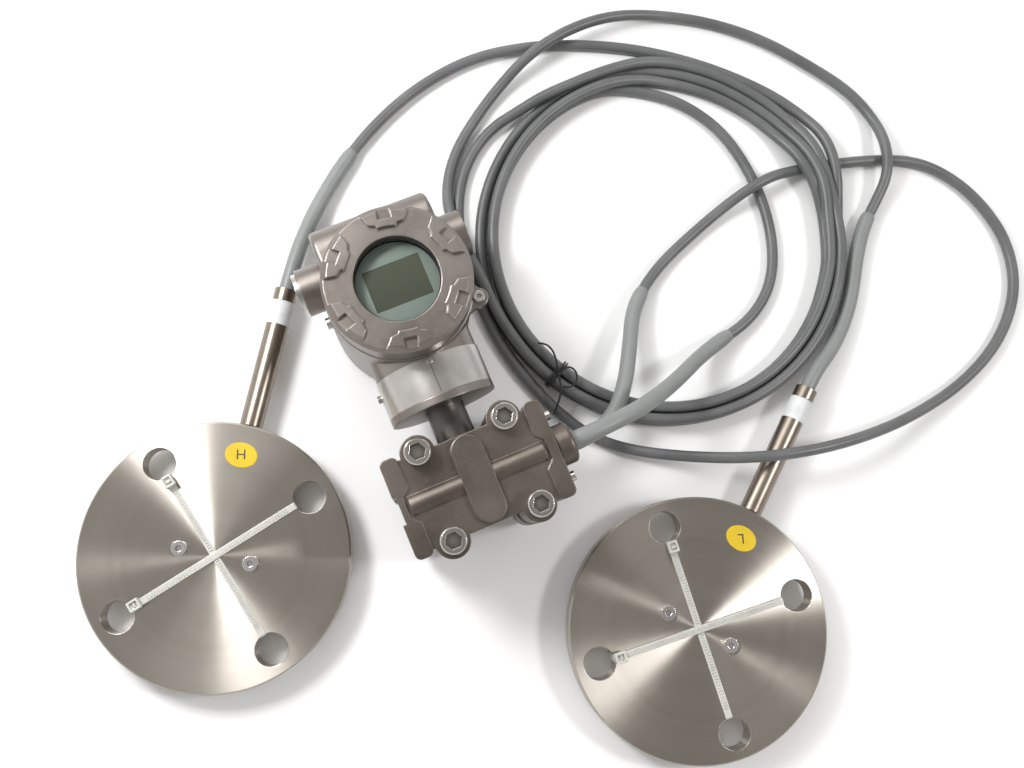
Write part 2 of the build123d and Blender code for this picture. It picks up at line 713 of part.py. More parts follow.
# Electronics behind the window
MODULE_LEDGE_Z = RETAINER_Z - MODULE_GAP
MODULE_TOP_Z = GLASS_Z - MODULE_GAP
with BuildPart() as main_circuit_board:
    with BuildSketch(Plane.XY.offset(BOARD_Z)):
        Circle(BOARD_R)
        with PolarLocations(MODULE_SCREW_REACH, MODULE_SCREWS, start_angle=MODULE_SCREW_DEG):
            Circle(MODULE_SCREW_R + LOOSE_GAP, mode=Mode.SUBTRACT)
    extrude(amount=BOARD_THICKNESS)
main_circuit_board.part.label = "main_circuit_board"
export_step(main_circuit_board.part, "parts/main_circuit_board.step")

with BuildPart() as display_module:
    with BuildSketch(Plane.XY.offset(MODULE_Z)):
        Circle(MODULE_R)
        with PolarLocations(MODULE_SCREW_REACH, MODULE_SCREWS, start_angle=MODULE_SCREW_DEG):
            Circle(MODULE_SCREW_R + LOOSE_GAP, mode=Mode.SUBTRACT)
    extrude(amount=MODULE_LEDGE_Z - MODULE_Z)
    # Its face stands up inside the retainer ring, close under the glass
    with BuildSketch(Plane.XY.offset(MODULE_LEDGE_Z)):
        Circle(RETAINER_BORE - FACE_CLEARANCE)
    extrude(amount=MODULE_TOP_Z - MODULE_LEDGE_Z)
    with BuildSketch(Plane.XY.offset(MODULE_TOP_Z - LCD_THICKNESS)):
        Rectangle(LCD_LENGTH + 2 * SEAT_GAP, LCD_WIDTH + 2 * SEAT_GAP)
    extrude(amount=LCD_THICKNESS, mode=Mode.SUBTRACT)
    # Slot for the local adjustment, beside the panel
    with BuildSketch(Plane.XY.offset(MODULE_TOP_Z - SLOT_DEPTH)):
        with PolarLocations(SLOT_REACH, 1, start_angle=SLOT_DEG):
            Rectangle(SLOT_WIDTH, SLOT_LENGTH)
    extrude(amount=SLOT_DEPTH, mode=Mode.SUBTRACT)
display_module.part.label = "display_module"
export_step(display_module.part, "parts/display_module.step")

with BuildPart() as lcd_panel:
    with BuildSketch(Plane.XY.offset(MODULE_TOP_Z - LCD_THICKNESS)):
        Rectangle(LCD_LENGTH, LCD_WIDTH)
    extrude(amount=LCD_THICKNESS - LOOSE_GAP)
lcd_panel.part.label = "lcd_panel"
export_step(lcd_panel.part, "parts/lcd_panel.step")

with BuildPart() as display_screws:
    for number in range(MODULE_SCREWS):
        turn = radians(MODULE_SCREW_DEG + number * 360 / MODULE_SCREWS)
        seat = Plane((MODULE_SCREW_REACH * cos(turn), MODULE_SCREW_REACH * sin(turn),
                      MODULE_LEDGE_Z))
        add(round_screw(seat, MODULE_SCREW_R, MODULE_LEDGE_Z - PARTITION_Z - PARTITION,
                        MODULE_SCREW_HEAD_R, MODULE_SCREW_HEAD))
display_screws.part.label = "display_screws"
export_step(display_screws.part, "parts/display_screws.step")

# Terminals in the wiring chamber, facing the rear cover
with BuildPart() as terminal_block:
    with BuildSketch(Plane.XY.offset(TERMINAL_Z)):
        with Locations((0, TERMINAL_Y)):
            Rectangle(TERMINAL_LENGTH, TERMINAL_WIDTH)
    extrude(amount=TERMINAL_HEIGHT)
    with BuildSketch(Plane.XY.offset(TERMINAL_Z)):
        with Locations((0, TERMINAL_Y)):
            with GridLocations(TERMINAL_PITCH, 0, TERMINAL_COUNT, 1):
                Circle(TERMINAL_SCREW_R + LOOSE_GAP)
    extrude(amount=TERMINAL_SCREW_HEIGHT, mode=Mode.SUBTRACT)
    with BuildSketch(Plane.XY.offset(TERMINAL_Z)):
        with Locations((-BLOCK_POST_X, TERMINAL_Y), (BLOCK_POST_X, TERMINAL_Y)):
            Circle(BLOCK_SCREW_R + LOOSE_GAP)
    extrude(amount=TERMINAL_HEIGHT, mode=Mode.SUBTRACT)
terminal_block.part.label = "terminal_block"
export_step(terminal_block.part, "parts/terminal_block.step")

with BuildPart() as terminal_screws:
    with BuildSketch(Plane.XY.offset(TERMINAL_Z)):
        with Locations((0, TERMINAL_Y)):
            with GridLocations(TERMINAL_PITCH, 0, TERMINAL_COUNT, 1):
                Circle(TERMINAL_SCREW_R)
    extrude(amount=TERMINAL_SCREW_HEIGHT)
    with BuildSketch(Plane.XY.offset(TERMINAL_Z)):
        with Locations((0, TERMINAL_Y)):
            with GridLocations(TERMINAL_PITCH, 0, TERMINAL_COUNT, 1):
                Rectangle(2 * TERMINAL_SCREW_R, DRIVER_SLOT)
    extrude(amount=DRIVER_SLOT, mode=Mode.SUBTRACT)
terminal_screws.part.label = "terminal_screws"
export_step(terminal_screws.part, "parts/terminal_screws.step")

with BuildPart() as terminal_block_screws:
    for side in (-1, 1):
        seat = Plane((side * BLOCK_POST_X, TERMINAL_Y, TERMINAL_Z), x_dir=(1, 0, 0),
                     z_dir=(0, 0, -1))
        add(round_screw(seat, BLOCK_SCREW_R, PARTITION_Z - TERMINAL_Z, BLOCK_SCREW_HEAD_R,
                        BLOCK_SCREW_HEAD))
terminal_block_screws.part.label = "terminal_block_screws"
export_step(terminal_block_screws.part, "parts/terminal_block_screws.step")

# Measuring cell: sensor capsule between two flanges, with its tube up into the neck
CELL_MID = Plane((0, CELL_Y, AXIS_Z))
TUBE_FOOT = Plane((0, NECK_END_Y + TUBE_SOCKET_DEPTH, AXIS_Z), x_dir=(1, 0, 0), z_dir=(0, -1, 0))
SEAL_GROOVE = 2 * CELL_SEAL_WIRE_R + SEAT_GAP

with BuildPart() as sensor_capsule:
    with BuildSketch(CELL_MID):
        Circle(CAPSULE_R)
    extrude(amount=CAPSULE_HALF, both=True)
    with BuildSketch(TUBE_FOOT):
        Circle(TUBE_R)
    extrude(amount=NECK_END_Y + TUBE_SOCKET_DEPTH - CELL_Y - CAPSULE_R / 2)
    with BuildSketch(TUBE_FOOT):
        Circle(TUBE_R - TUBE_WALL)
    extrude(amount=NECK_END_Y + TUBE_SOCKET_DEPTH - CELL_Y - CAPSULE_R, mode=Mode.SUBTRACT)
    for side in (-1, 1):
        face = CELL_MID.offset(side * CAPSULE_HALF)
        with BuildSketch(face):
            Circle(DISH_R)
        extrude(amount=-side * CHAMBER_DEPTH, mode=Mode.SUBTRACT)
        with BuildSketch(face):
            Circle(CELL_SEAL_R + SEAL_GROOVE / 2)
            Circle(CELL_SEAL_R - SEAL_GROOVE / 2, mode=Mode.SUBTRACT)
        extrude(amount=-side * SEAL_GROOVE, mode=Mode.SUBTRACT)
sensor_capsule.part.label = "sensor_capsule"
export_step(sensor_capsule.part, "parts/sensor_capsule.step")

with BuildPart() as cell_diaphragms:
    for side in (-1, 1):
        with BuildSketch(CELL_MID.offset(side * (CAPSULE_HALF - CHAMBER_DEPTH))):
            Circle(DISH_R - SEAT_GAP)
        extrude(amount=side * DIAPHRAGM_THICKNESS)
cell_diaphragms.part.label = "cell_diaphragms"
export_step(cell_diaphragms.part, "parts/cell_diaphragms.step")

with BuildPart() as cell_seal_rings:
    for side in (-1, 1):
        ring_z = AXIS_Z + side * (CAPSULE_HALF - CELL_SEAL_WIRE_R - SEAT_GAP / 2)
        with BuildSketch(Plane((0, CELL_Y, ring_z), x_dir=(1, 0, 0), z_dir=(0, -1, 0))):
            with Locations((CELL_SEAL_R, 0)):
                Circle(CELL_SEAL_WIRE_R)
        revolve(axis=Axis((0, CELL_Y, 0), (0, 0, 1)))
cell_seal_rings.part.label = "cell_seal_rings"
export_step(cell_seal_rings.part, "parts/cell_seal_rings.step")


def make_cell_flange():
    """The front flange about the stack's middle, with its outer face upwards."""
    with BuildPart() as flange:
        with BuildSketch(Plane.XY.offset(FLANGE_GAP_HALF)):
            Rectangle(2 * FLANGE_HALF_X, 2 * FLANGE_HALF_Y)
            with GridLocations(BOLT_PITCH_X, BOLT_PITCH_Y, 2, 2):
                Circle(EAR_R)
        extrude(amount=FLANGE_HALF - FLANGE_GAP_HALF)
        # End blocks, standing a little above the rest
        with BuildSketch(Plane.XY.offset(FLANGE_GAP_HALF)):
            for side in (-1, 1):
                with Locations((side * (END_BLOCK_X + FLANGE_HALF_X - END_BLOCK_LAP) / 2, 0)):
                    RectangleRounded(END_BLOCK_X - FLANGE_HALF_X + END_BLOCK_LAP,
                                     2 * END_BLOCK_HALF_Y, radius=END_BLOCK_ROUND)
        extrude(amount=FLANGE_HALF + END_BLOCK_RISE - FLANGE_GAP_HALF)
        # Relief of each end block where the rib runs in
        with BuildSketch(Plane.XY.offset(FLANGE_HALF)):
            for side in (-1, 1):
                relief_foot = side * (FLANGE_HALF_X - END_BLOCK_LAP - RELIEF_SLOPE)
                relief_end = side * (FLANGE_HALF_X + END_BLOCK_STEP)
                Polygon((relief_foot, -RIB_RELIEF / 2 - 2 * RELIEF_SLOPE),
                        (relief_end, -RIB_RELIEF / 2 + RELIEF_SLOPE),
                        (relief_end, RIB_RELIEF / 2 - RELIEF_SLOPE),
                        (relief_foot, RIB_RELIEF / 2 + 2 * RELIEF_SLOPE), align=None)
        extrude(amount=2 * END_BLOCK_RISE, mode=Mode.SUBTRACT)
        # Rib over the pressure passage, and the flat pad across it
        with BuildSketch(Plane((-FLANGE_HALF_X, 0, FLANGE_HALF + RIB_RISE - RIB_R),
                               x_dir=(0, 1, 0), z_dir=(1, 0, 0))):
            Circle(RIB_R)
        extrude(amount=2 * FLANGE_HALF_X)
        with BuildSketch(Plane.XY.offset(FLANGE_HALF)):
            SlotCenterToCenter(PAD_SPAN, 2 * PAD_R, rotation=90)
        extrude(amount=PAD_RISE)
        # Flat in the closed end
        with BuildSketch(Plane.XY.offset(FLANGE_GAP_HALF)):
            with Locations((-END_BLOCK_X, 0)):
                Rectangle(2 * END_BLOCK_STEP, RIB_RELIEF)
        extrude(amount=2 * FLANGE_HALF, mode=Mode.SUBTRACT)
        # Bolt holes, capsule seat, pressure chamber and relief for the sensor tube
        with BuildSketch(Plane.XY.offset(FLANGE_GAP_HALF)):
            with GridLocations(BOLT_PITCH_X, BOLT_PITCH_Y, 2, 2):
                Circle(BOLT_R + LOOSE_GAP)
        extrude(amount=2 * FLANGE_HALF, mode=Mode.SUBTRACT)
        with BuildSketch(Plane.XY.offset(FLANGE_GAP_HALF)):
            Circle(CAPSULE_R + LOOSE_GAP)
        extrude(amount=CAPSULE_HALF - FLANGE_GAP_HALF, mode=Mode.SUBTRACT)
        with BuildSketch(Plane.XY.offset(CAPSULE_HALF)):
            Circle(CHAMBER_R)
        extrude(amount=CHAMBER_DEPTH, mode=Mode.SUBTRACT)
        with BuildSketch(Plane.XZ):
            Circle(TUBE_R + LOOSE_GAP)
        extrude(amount=-2 * FLANGE_HALF_Y, mode=Mode.SUBTRACT)
        # Process port with its passage to the chamber
        with BuildSketch(Plane((END_BLOCK_X, 0, PORT_OFFSET), x_dir=(0, 1, 0), z_dir=(-1, 0, 0))):
            Circle(PORT_R)
        extrude(amount=PORT_DEPTH, mode=Mode.SUBTRACT)
        with BuildSketch(Plane((END_BLOCK_X, 0, PORT_OFFSET), x_dir=(0, 1, 0), z_dir=(-1, 0, 0))):
            Circle(PASSAGE_R)
        extrude(amount=END_BLOCK_X + PASSAGE_R, mode=Mode.SUBTRACT)
        with BuildSketch(Plane.XY.offset(CAPSULE_HALF)):
            Circle(PASSAGE_R)
        extrude(amount=PORT_OFFSET - CAPSULE_HALF, mode=Mode.SUBTRACT)
        with BuildSketch(Plane((END_BLOCK_X, 0, PORT_OFFSET), x_dir=(0, 1, 0), z_dir=(-1, 0, 0))):
            with GridLocations(PORT_SCREW_PITCH, 0, 2, 1):
                Circle(PORT_SCREW_SHANK_R + SEAT_GAP)
        extrude(amount=PORT_SCREW_THREAD, mode=Mode.SUBTRACT)
    return flange.part


cell_flange = make_cell_flange()

with BuildPart() as front_flange:
    add(CELL_MID.location * cell_flange)
front_flange.part.label = "front_flange"
export_step(front_flange.part, "parts/front_flange.step")

with BuildPart() as rear_flange:
    add(CELL_MID.location * cell_flange.mirror(Plane.XY))
rear_flange.part.label = "rear_flange"
export_step(rear_flange.part, "parts/rear_flange.step")

with BuildPart() as flange_bolts:
    with BuildSketch(CELL_MID.offset(FLANGE_HALF)):
        with GridLocations(BOLT_PITCH_X, BOLT_PITCH_Y, 2, 2):
            Circle(BOLT_HEAD_R)
    extrude(amount=BOLT_HEAD)
    chamfer(flange_bolts.faces().group_by(Axis.Z)[-1].edges(), length=BOLT_HEAD_CHAMFER)
    with BuildSketch(CELL_MID.offset(FLANGE_HALF + BOLT_HEAD)):
        with GridLocations(BOLT_PITCH_X, BOLT_PITCH_Y, 2, 2):
            RegularPolygon(BOLT_SOCKET_AF / 2, 6, major_radius=False)
    extrude(amount=-BOLT_HEAD / 2, mode=Mode.SUBTRACT)
    with BuildSketch(CELL_MID.offset(FLANGE_HALF)):
        with GridLocations(BOLT_PITCH_X, BOLT_PITCH_Y, 2, 2):
            Circle(BOLT_R)
    extrude(amount=-FLANGE_FACE_Z)
flange_bolts.part.label = "flange_bolts"
export_step(flange_bolts.part, "parts/flange_bolts.step")

with BuildPart() as flange_nuts:
    with BuildSketch(CELL_MID.offset(-FLANGE_HALF)):
        with GridLocations(BOLT_PITCH_X, BOLT_PITCH_Y, 2, 2):
            RegularPolygon(NUT_AF / 2, 6, major_radius=False)
            Circle(BOLT_R + SEAT_GAP, mode=Mode.SUBTRACT)
    extrude(amount=-NUT_HEIGHT)
flange_nuts.part.label = "flange_nuts"
export_step(flange_nuts.part, "parts/flange_nuts.step")

# Capillary adapters on the two ports, each on a thin seal, and the screws beside them
PORT_FACES = {
    "front": Plane((END_BLOCK_X, CELL_Y, PORT_HIGH_Z), x_dir=(0, 1, 0), z_dir=(1, 0, 0)),
    "rear": Plane((END_BLOCK_X, CELL_Y, PORT_LOW_Z), x_dir=(0, 1, 0), z_dir=(1, 0, 0)),
}
for name, port_face in PORT_FACES.items():
    with BuildPart() as adapter:
        with BuildSketch(port_face.offset(ADAPTER_SEAL)):
            Circle(ADAPTER_R)
        extrude(amount=ADAPTER_END_X - END_BLOCK_X - ADAPTER_SEAL)
        fillet(adapter.edges().group_by(Axis.X)[-1], radius=ADAPTER_ROUND)
        with BuildSketch(port_face.offset(ADAPTER_SEAL)):
            Circle(PORT_R - SEAT_GAP)
        extrude(amount=-ADAPTER_SPIGOT)
        with BuildSketch(port_face.offset(ADAPTER_END_X - END_BLOCK_X - ADAPTER_FACE)):
            Circle(OIL_BORE_R)
        extrude(amount=-2 * PORT_DEPTH, mode=Mode.SUBTRACT)
    adapter.part.label = name + "_adapter"
    export_step(adapter.part, "parts/" + name + "_adapter.step")

with BuildPart() as adapter_seals:
    for port_face in PORT_FACES.values():
        with BuildSketch(port_face):
            Circle(ADAPTER_SEAL_R)
            Circle(PORT_R, mode=Mode.SUBTRACT)
        extrude(amount=ADAPTER_SEAL)
adapter_seals.part.label = "adapter_seals"
export_step(adapter_seals.part, "parts/adapter_seals.step")

with BuildPart() as port_screws:
    for port_face in PORT_FACES.values():
        for side in (-1, 1):
            middle = port_face.from_local_coords((side * PORT_SCREW_PITCH / 2, 0, 0))
            seat = port_face.shift_origin(middle)
            add(round_screw(seat, PORT_SCREW_SHANK_R, PORT_SCREW_THREAD, PORT_SCREW_R, PORT_SCREW_HEAD))
port_screws.part.label = "port_screws"
export_step(port_screws.part, "parts/port_screws.step")


# Remote seal, modelled about its own centre with the stem along +X and its back upwards
CAP_R = RAISED_FACE_R + LOOSE_GAP + CAP_LIP
TIE_HALF = SEAL_BOLT_CIRCLE / 2 - SEAL_HOLE_R + LOOSE_GAP


def make_seal_flange():
    """Drilled flange with a raised sealing face underneath and a radial stem socket."""
    with BuildPart() as flange:
        with BuildSketch(Plane.XY.offset(SEAL_PLATE_Z)):
            Circle(SEAL_R)
        extrude(amount=SEAL_THICKNESS)
        chamfer(flange.edges(), length=SEAL_CHAMFER)
        with BuildSketch(Plane.XY.offset(SEAL_FACE_Z)):
            Circle(RAISED_FACE_R)
        extrude(amount=RAISED_FACE)
        with BuildSketch(Plane.XY.offset(SEAL_FACE_Z)):
            with PolarLocations(SEAL_BOLT_CIRCLE / 2, SEAL_HOLES, start_angle=HOLE_DEG):
                Circle(SEAL_HOLE_R)
        extrude(amount=RAISED_FACE + SEAL_THICKNESS, mode=Mode.SUBTRACT)
        # Shallow dish for the diaphragm, and its oil passage out to the stem
        with BuildSketch(Plane.XY.offset(SEAL_FACE_Z)):
            Circle(SEAL_DIAPHRAGM_R)
        extrude(amount=2 * SEAL_DIAPHRAGM_SHEET, mode=Mode.SUBTRACT)
        with BuildSketch(Plane((SEAL_R, 0, STEM_Z), x_dir=(0, 1, 0), z_dir=(-1, 0, 0))):
            Circle(STEM_SPIGOT_R + SEAT_GAP)
        extrude(amount=STEM_SOCKET, mode=Mode.SUBTRACT)
        with BuildSketch(Plane((SEAL_R, 0, STEM_Z), x_dir=(0, 1, 0), z_dir=(-1, 0, 0))):
            Circle(OIL_BORE_R)
        extrude(amount=SEAL_R + OIL_BORE_R, mode=Mode.SUBTRACT)
        with BuildSketch(Plane.XY.offset(SEAL_FACE_Z)):
            Circle(OIL_BORE_R)
        extrude(amount=STEM_Z - SEAL_FACE_Z, mode=Mode.SUBTRACT)
        # Tapped filling holes in the back
        with BuildSketch(Plane.XY.offset(SEAL_TOP_Z)):
            with PolarLocations(FILL_SCREW_HALF_PITCH, 2, start_angle=FILL_DEG):
                Circle(FILL_THREAD_R + SEAT_GAP)
        extrude(amount=-FILL_THREAD, mode=Mode.SUBTRACT)
    return flange.part


def make_diaphragm():
    """Thin corrugated sheet in the dish of the sealing face."""
    with BuildPart() as sheet:
        with BuildSketch(Plane.XY.offset(SEAL_FACE_Z + SEAL_DIAPHRAGM_SHEET)):
            Circle(SEAL_DIAPHRAGM_R - SEAT_GAP)
        extrude(amount=SEAL_DIAPHRAGM_SHEET)
        with BuildSketch(Plane.XY.offset(SEAL_FACE_Z)):
            for ridge in DIAPHRAGM_RIDGES:
                Circle(ridge)
                Circle(ridge - RIDGE_WIDTH, mode=Mode.SUBTRACT)
        extrude(amount=SEAL_DIAPHRAGM_SHEET)
    return sheet.part


def make_cap():
    """Protective cap over the sealing face, with a lip round it."""
    with BuildPart() as cap:
        with BuildSketch(Plane.XY.offset(SEAL_BACK_Z)):
            Circle(CAP_R)
        extrude(amount=CAP_WALL + RAISED_FACE - SEAT_GAP)
        with BuildSketch(Plane.XY.offset(SEAL_FACE_Z)):
            Circle(RAISED_FACE_R + LOOSE_GAP)
        extrude(amount=RAISED_FACE, mode=Mode.SUBTRACT)
    return cap.part


def make_fill_screws():
    """The two socket screws that close the filling holes."""
    with BuildPart() as screws:
        for side in (-1, 1):
            place = Plane((0, side * FILL_SCREW_HALF_PITCH, SEAL_TOP_Z))
            add(round_screw(place, FILL_THREAD_R, FILL_THREAD, FILL_SCREW_R, FILL_SCREW_RISE,
                            FILL_SOCKET_AF))
    return screws.part


def make_tie(layer):
    """A cable tie through two opposite holes; the outer layer crosses over the inner one."""
    lift = (1 - layer) * (TIE_THICKNESS + SEAT_GAP)
    top = SEAL_TOP_Z + SEAT_GAP + layer * (TIE_THICKNESS + SEAT_GAP) + TIE_THICKNESS
    strap = Plane((0, 0, 0), x_dir=(cos(radians(HOLE_DEG + 90 * layer)),
                                    sin(radians(HOLE_DEG + 90 * layer)), 0),
                  z_dir=(sin(radians(HOLE_DEG + 90 * layer)),
                         -cos(radians(HOLE_DEG + 90 * layer)), 0))
    with BuildPart() as tie:
        with BuildSketch(strap):
            with Locations((0, (top + lift) / 2)):
                Rectangle(2 * (TIE_HALF + TIE_THICKNESS), top - lift)
                Rectangle(2 * TIE_HALF, top - lift - 2 * TIE_THICKNESS, mode=Mode.SUBTRACT)
        extrude(amount=TIE_WIDTH / 2, both=True)
        with BuildSketch(strap):
            with Locations((TIE_HALF - TIE_HEAD / 2, top + TIE_HEAD_HEIGHT / 2)):
                Rectangle(TIE_HEAD, TIE_HEAD_HEIGHT)
        extrude(amount=TIE_HEAD / 2, both=True)
    return tie.part


def make_stem():
    """Tube that carries the capillary out of the flange's edge."""
    with BuildPart() as stem:
        with BuildSketch(Plane((SEAL_R + SEAT_GAP, 0, STEM_Z), x_dir=(0, 1, 0), z_dir=(1, 0, 0))):
            Circle(STEM_R)
        extrude(amount=STEM_REACH - FERRULE_LENGTH - SEAL_R - SEAT_GAP)
        with BuildSketch(Plane((SEAL_R - STEM_SOCKET, 0, STEM_Z), x_dir=(0, 1, 0), z_dir=(1, 0, 0))):
            Circle(STEM_SPIGOT_R)
        extrude(amount=STEM_SOCKET + SEAT_GAP)
        with BuildSketch(Plane((SEAL_R - STEM_SOCKET, 0, STEM_Z), x_dir=(0, 1, 0), z_dir=(1, 0, 0))):
            Circle(CORD_R + SEAT_GAP)
        extrude(amount=STEM_REACH - FERRULE_LENGTH - SEAL_R + STEM_SOCKET, mode=Mode.SUBTRACT)
    return stem.part


def make_ferrule():
    """Crimped ring that ends the stem, where the capillary comes in."""
    with BuildPart() as ferrule:
        with BuildSketch(Plane((STEM_REACH - FERRULE_LENGTH, 0, STEM_Z), x_dir=(0, 1, 0),
                               z_dir=(1, 0, 0))):
            Circle(STEM_R)
            Circle(PASSAGE_R, mode=Mode.SUBTRACT)
        extrude(amount=FERRULE_LENGTH)
        chamfer(ferrule.edges().group_by(Axis.X)[0], length=EDGE_BREAK)
    return ferrule.part


def make_stem_label():
    """Blank paper wrapped once round the stem."""
    start = STEM_REACH - FERRULE_LENGTH - STEM_LABEL_LENGTH
    with BuildPart() as label:
        with BuildSketch(Plane((start, 0, STEM_Z), x_dir=(0, 1, 0), z_dir=(1, 0, 0))):
            Circle(STEM_R + STEM_LABEL_THICKNESS)
            Circle(STEM_R, mode=Mode.SUBTRACT)
        extrude(amount=STEM_LABEL_LENGTH)
    return label.part


def make_sticker():
    """Oval marker on the back of the flange, beside the stem."""
    with BuildPart() as sticker:
        with BuildSketch(Plane.XY.offset(SEAL_TOP_Z)):
            with Locations((STICKER_SPREAD, 0)):
                Ellipse(STICKER_WIDTH / 2, STICKER_LENGTH / 2)
        extrude(amount=STICKER_THICKNESS)
    return sticker.part


seal_pieces = {
    "seal_flange": make_seal_flange(),
    "diaphragm": make_diaphragm(),
    "protective_cap": make_cap(),
    "inner_cable_tie": make_tie(0),
    "outer_cable_tie": make_tie(1),
    "stem": make_stem(),
    "sticker": make_sticker(),
}
paired_pieces = {
    "fill_screws": make_fill_screws(),
    "stem_ferrules": make_ferrule(),
    "stem_labels": make_stem_label(),
}
SEAL_PLACES = {
    "high": Location((*HIGH_SEAL, 0), (0, 0, HIGH_STEM_DEG)),
    "low": Location((*LOW_SEAL, 0), (0, 0, LOW_STEM_DEG)),
}
for side, place in SEAL_PLACES.items():
    for piece, shape in seal_pieces.items():
        with BuildPart() as placed:
            add(place * shape)
        placed.part.label = side + "_" + piece
        export_step(placed.part, "parts/" + side + "_" + piece + ".step")

for piece, shape in paired_pieces.items():
    with BuildPart() as pair:
        for place in SEAL_PLACES.values():
            add(place * shape)
    pair.part.label = piece
    export_step(pair.part, "parts/" + piece + ".step")


# Capillaries
def bend_radii(route):
    """One radius for each corner, the largest that leaves a short straight on both runs."""
    radii = []
    for before, corner, after in zip(route, route[1:], route[2:]):
        run_in = Vector(*corner) - Vector(*before)
        run_out = Vector(*after) - Vector(*corner)
        half_turn = radians(run_in.get_angle(run_out) / 2)
        radii.append(BEND_SHARE * min(run_in.length, run_out.length) / tan(half_turn))
    return radii


def part_way(route, corners):
    """The first corners of a route and the middle of the run after them."""
    last = route[corners]
    after = route[corners + 1]
    middle = tuple((a + b) / 2 for a, b in zip(last, after))
    return route[:corners + 1] + [middle]


def make_tube(route, radii, outer_r, bore_r=0.0):
    """A tube along a route of straight runs and tangent arcs."""
    with BuildPart() as tube:
        with BuildLine() as path:
            FilletPolyline(*route, radius=radii)
        with BuildSketch(Plane(origin=path.line @ 0, z_dir=path.line % 0)):
            Circle(outer_r)
            if bore_r:
                Circle(bore_r, mode=Mode.SUBTRACT)
        sweep()
    return tube.part, path.wire().length


# The wound turns of both capillaries, one closed ring, grooved for its wire tie
with BuildPart() as capillary_coil:
    with BuildSketch(Plane.XZ):
        with Locations(((COIL_INNER_R + COIL_OUTER_R) / 2, COIL_HEIGHT / 2)):
            RectangleRounded(COIL_WIDTH, COIL_HEIGHT, radius=CORD_R)
    revolve(axis=Axis.Z)
    with BuildSketch(Plane.XZ):
        with Locations(((COIL_INNER_R + COIL_OUTER_R) / 2, COIL_HEIGHT / 2)):
            Rectangle(COIL_WIDTH + CORD_R, COIL_HEIGHT + CORD_R)
            RectangleRounded(COIL_WIDTH - 4 * COIL_TIE_WIRE_R - 2 * SEAT_GAP,
                             COIL_HEIGHT - 4 * COIL_TIE_WIRE_R - 2 * SEAT_GAP,
                             radius=CORD_R - 2 * COIL_TIE_WIRE_R, mode=Mode.SUBTRACT)
    extrude(amount=COIL_TIE_WIRE_R + SEAT_GAP, both=True, mode=Mode.SUBTRACT)
    # Passage for the capillary that runs under the turns
    with BuildSketch(Plane.XY):
        with PolarLocations((COIL_INNER_R + COIL_OUTER_R) / 2, 1,
                            start_angle=PASSAGE_DEG - COIL_TIE_DEG):
            Rectangle(2 * COIL_HEIGHT, PASSAGE_WIDTH)
    extrude(amount=PASSAGE_HEIGHT, mode=Mode.SUBTRACT)
coil_place = Location((COIL_X, COIL_Y, 0), (0, 0, COIL_TIE_DEG))
coil_ring = coil_place * capillary_coil.part
coil_ring.label = "capillary_coil"
export_step(coil_ring, "parts/capillary_coil.step")

with BuildPart() as coil_tie:
    with BuildSketch(Plane.XZ):
        with Locations(((COIL_INNER_R + COIL_OUTER_R) / 2, COIL_HEIGHT / 2)):
            RectangleRounded(COIL_WIDTH, COIL_HEIGHT, radius=CORD_R)
            RectangleRounded(COIL_WIDTH - 4 * COIL_TIE_WIRE_R,
                             COIL_HEIGHT - 4 * COIL_TIE_WIRE_R,
                             radius=CORD_R - 2 * COIL_TIE_WIRE_R, mode=Mode.SUBTRACT)
    extrude(amount=COIL_TIE_WIRE_R, both=True)
    # Twisted ends of the wire, lying over the turns
    with BuildSketch(Plane((0, 0, COIL_HEIGHT), x_dir=(1, 0, 0), z_dir=(0, 0, 1))):
        with Locations(((COIL_INNER_R + COIL_OUTER_R) / 2 - CORD_R, 0)):
            Circle(COIL_TIE_KNOT_R)
    extrude(amount=COIL_TIE_KNOT)
tie_loop = coil_place * coil_tie.part
tie_loop.label = "coil_tie"
export_step(tie_loop, "parts/coil_tie.step")

capillaries = (
    ("high_capillary_lead", "high_lead_sleeve", HIGH_LEAD, 3),
    ("high_capillary_tail", "high_tail_sleeve", HIGH_TAIL, 3),
    ("low_capillary_lead", "low_lead_sleeve", LOW_LEAD, 5),
    ("low_capillary_tail", "low_tail_sleeve", LOW_TAIL, 6),
)
for name, sleeve_name, route, sleeve_corners in capillaries:
    radii = bend_radii(route)
    tube, run = make_tube(route, radii, CORD_R)
    with BuildPart() as capillary:
        add(tube)
        add(coil_ring, mode=Mode.SUBTRACT)
    capillary.part.label = name
    export_step(capillary.part, "parts/" + name + ".step")
    share = tube.volume / (pi * CORD_R ** 2 * run)
    print(name, "length", round(run), "volume share", round(share, 4))
    print("  radii", [round(radius) for radius in radii])

    sleeve, sleeve_run = make_tube(part_way(route, sleeve_corners), radii[:sleeve_corners],
                                   SLEEVE_R, CORD_R + SLEEVE_GAP)
    sleeve.label = sleeve_name
    export_step(sleeve, "parts/" + sleeve_name + ".step")
    print(" ", sleeve_name, "length", round(sleeve_run))
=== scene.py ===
"""Looks of the differential pressure transmitter with two remote seals."""

from math import cos, pi, radians, sin

import bmesh
import bpy
from mathutils import Matrix, Vector


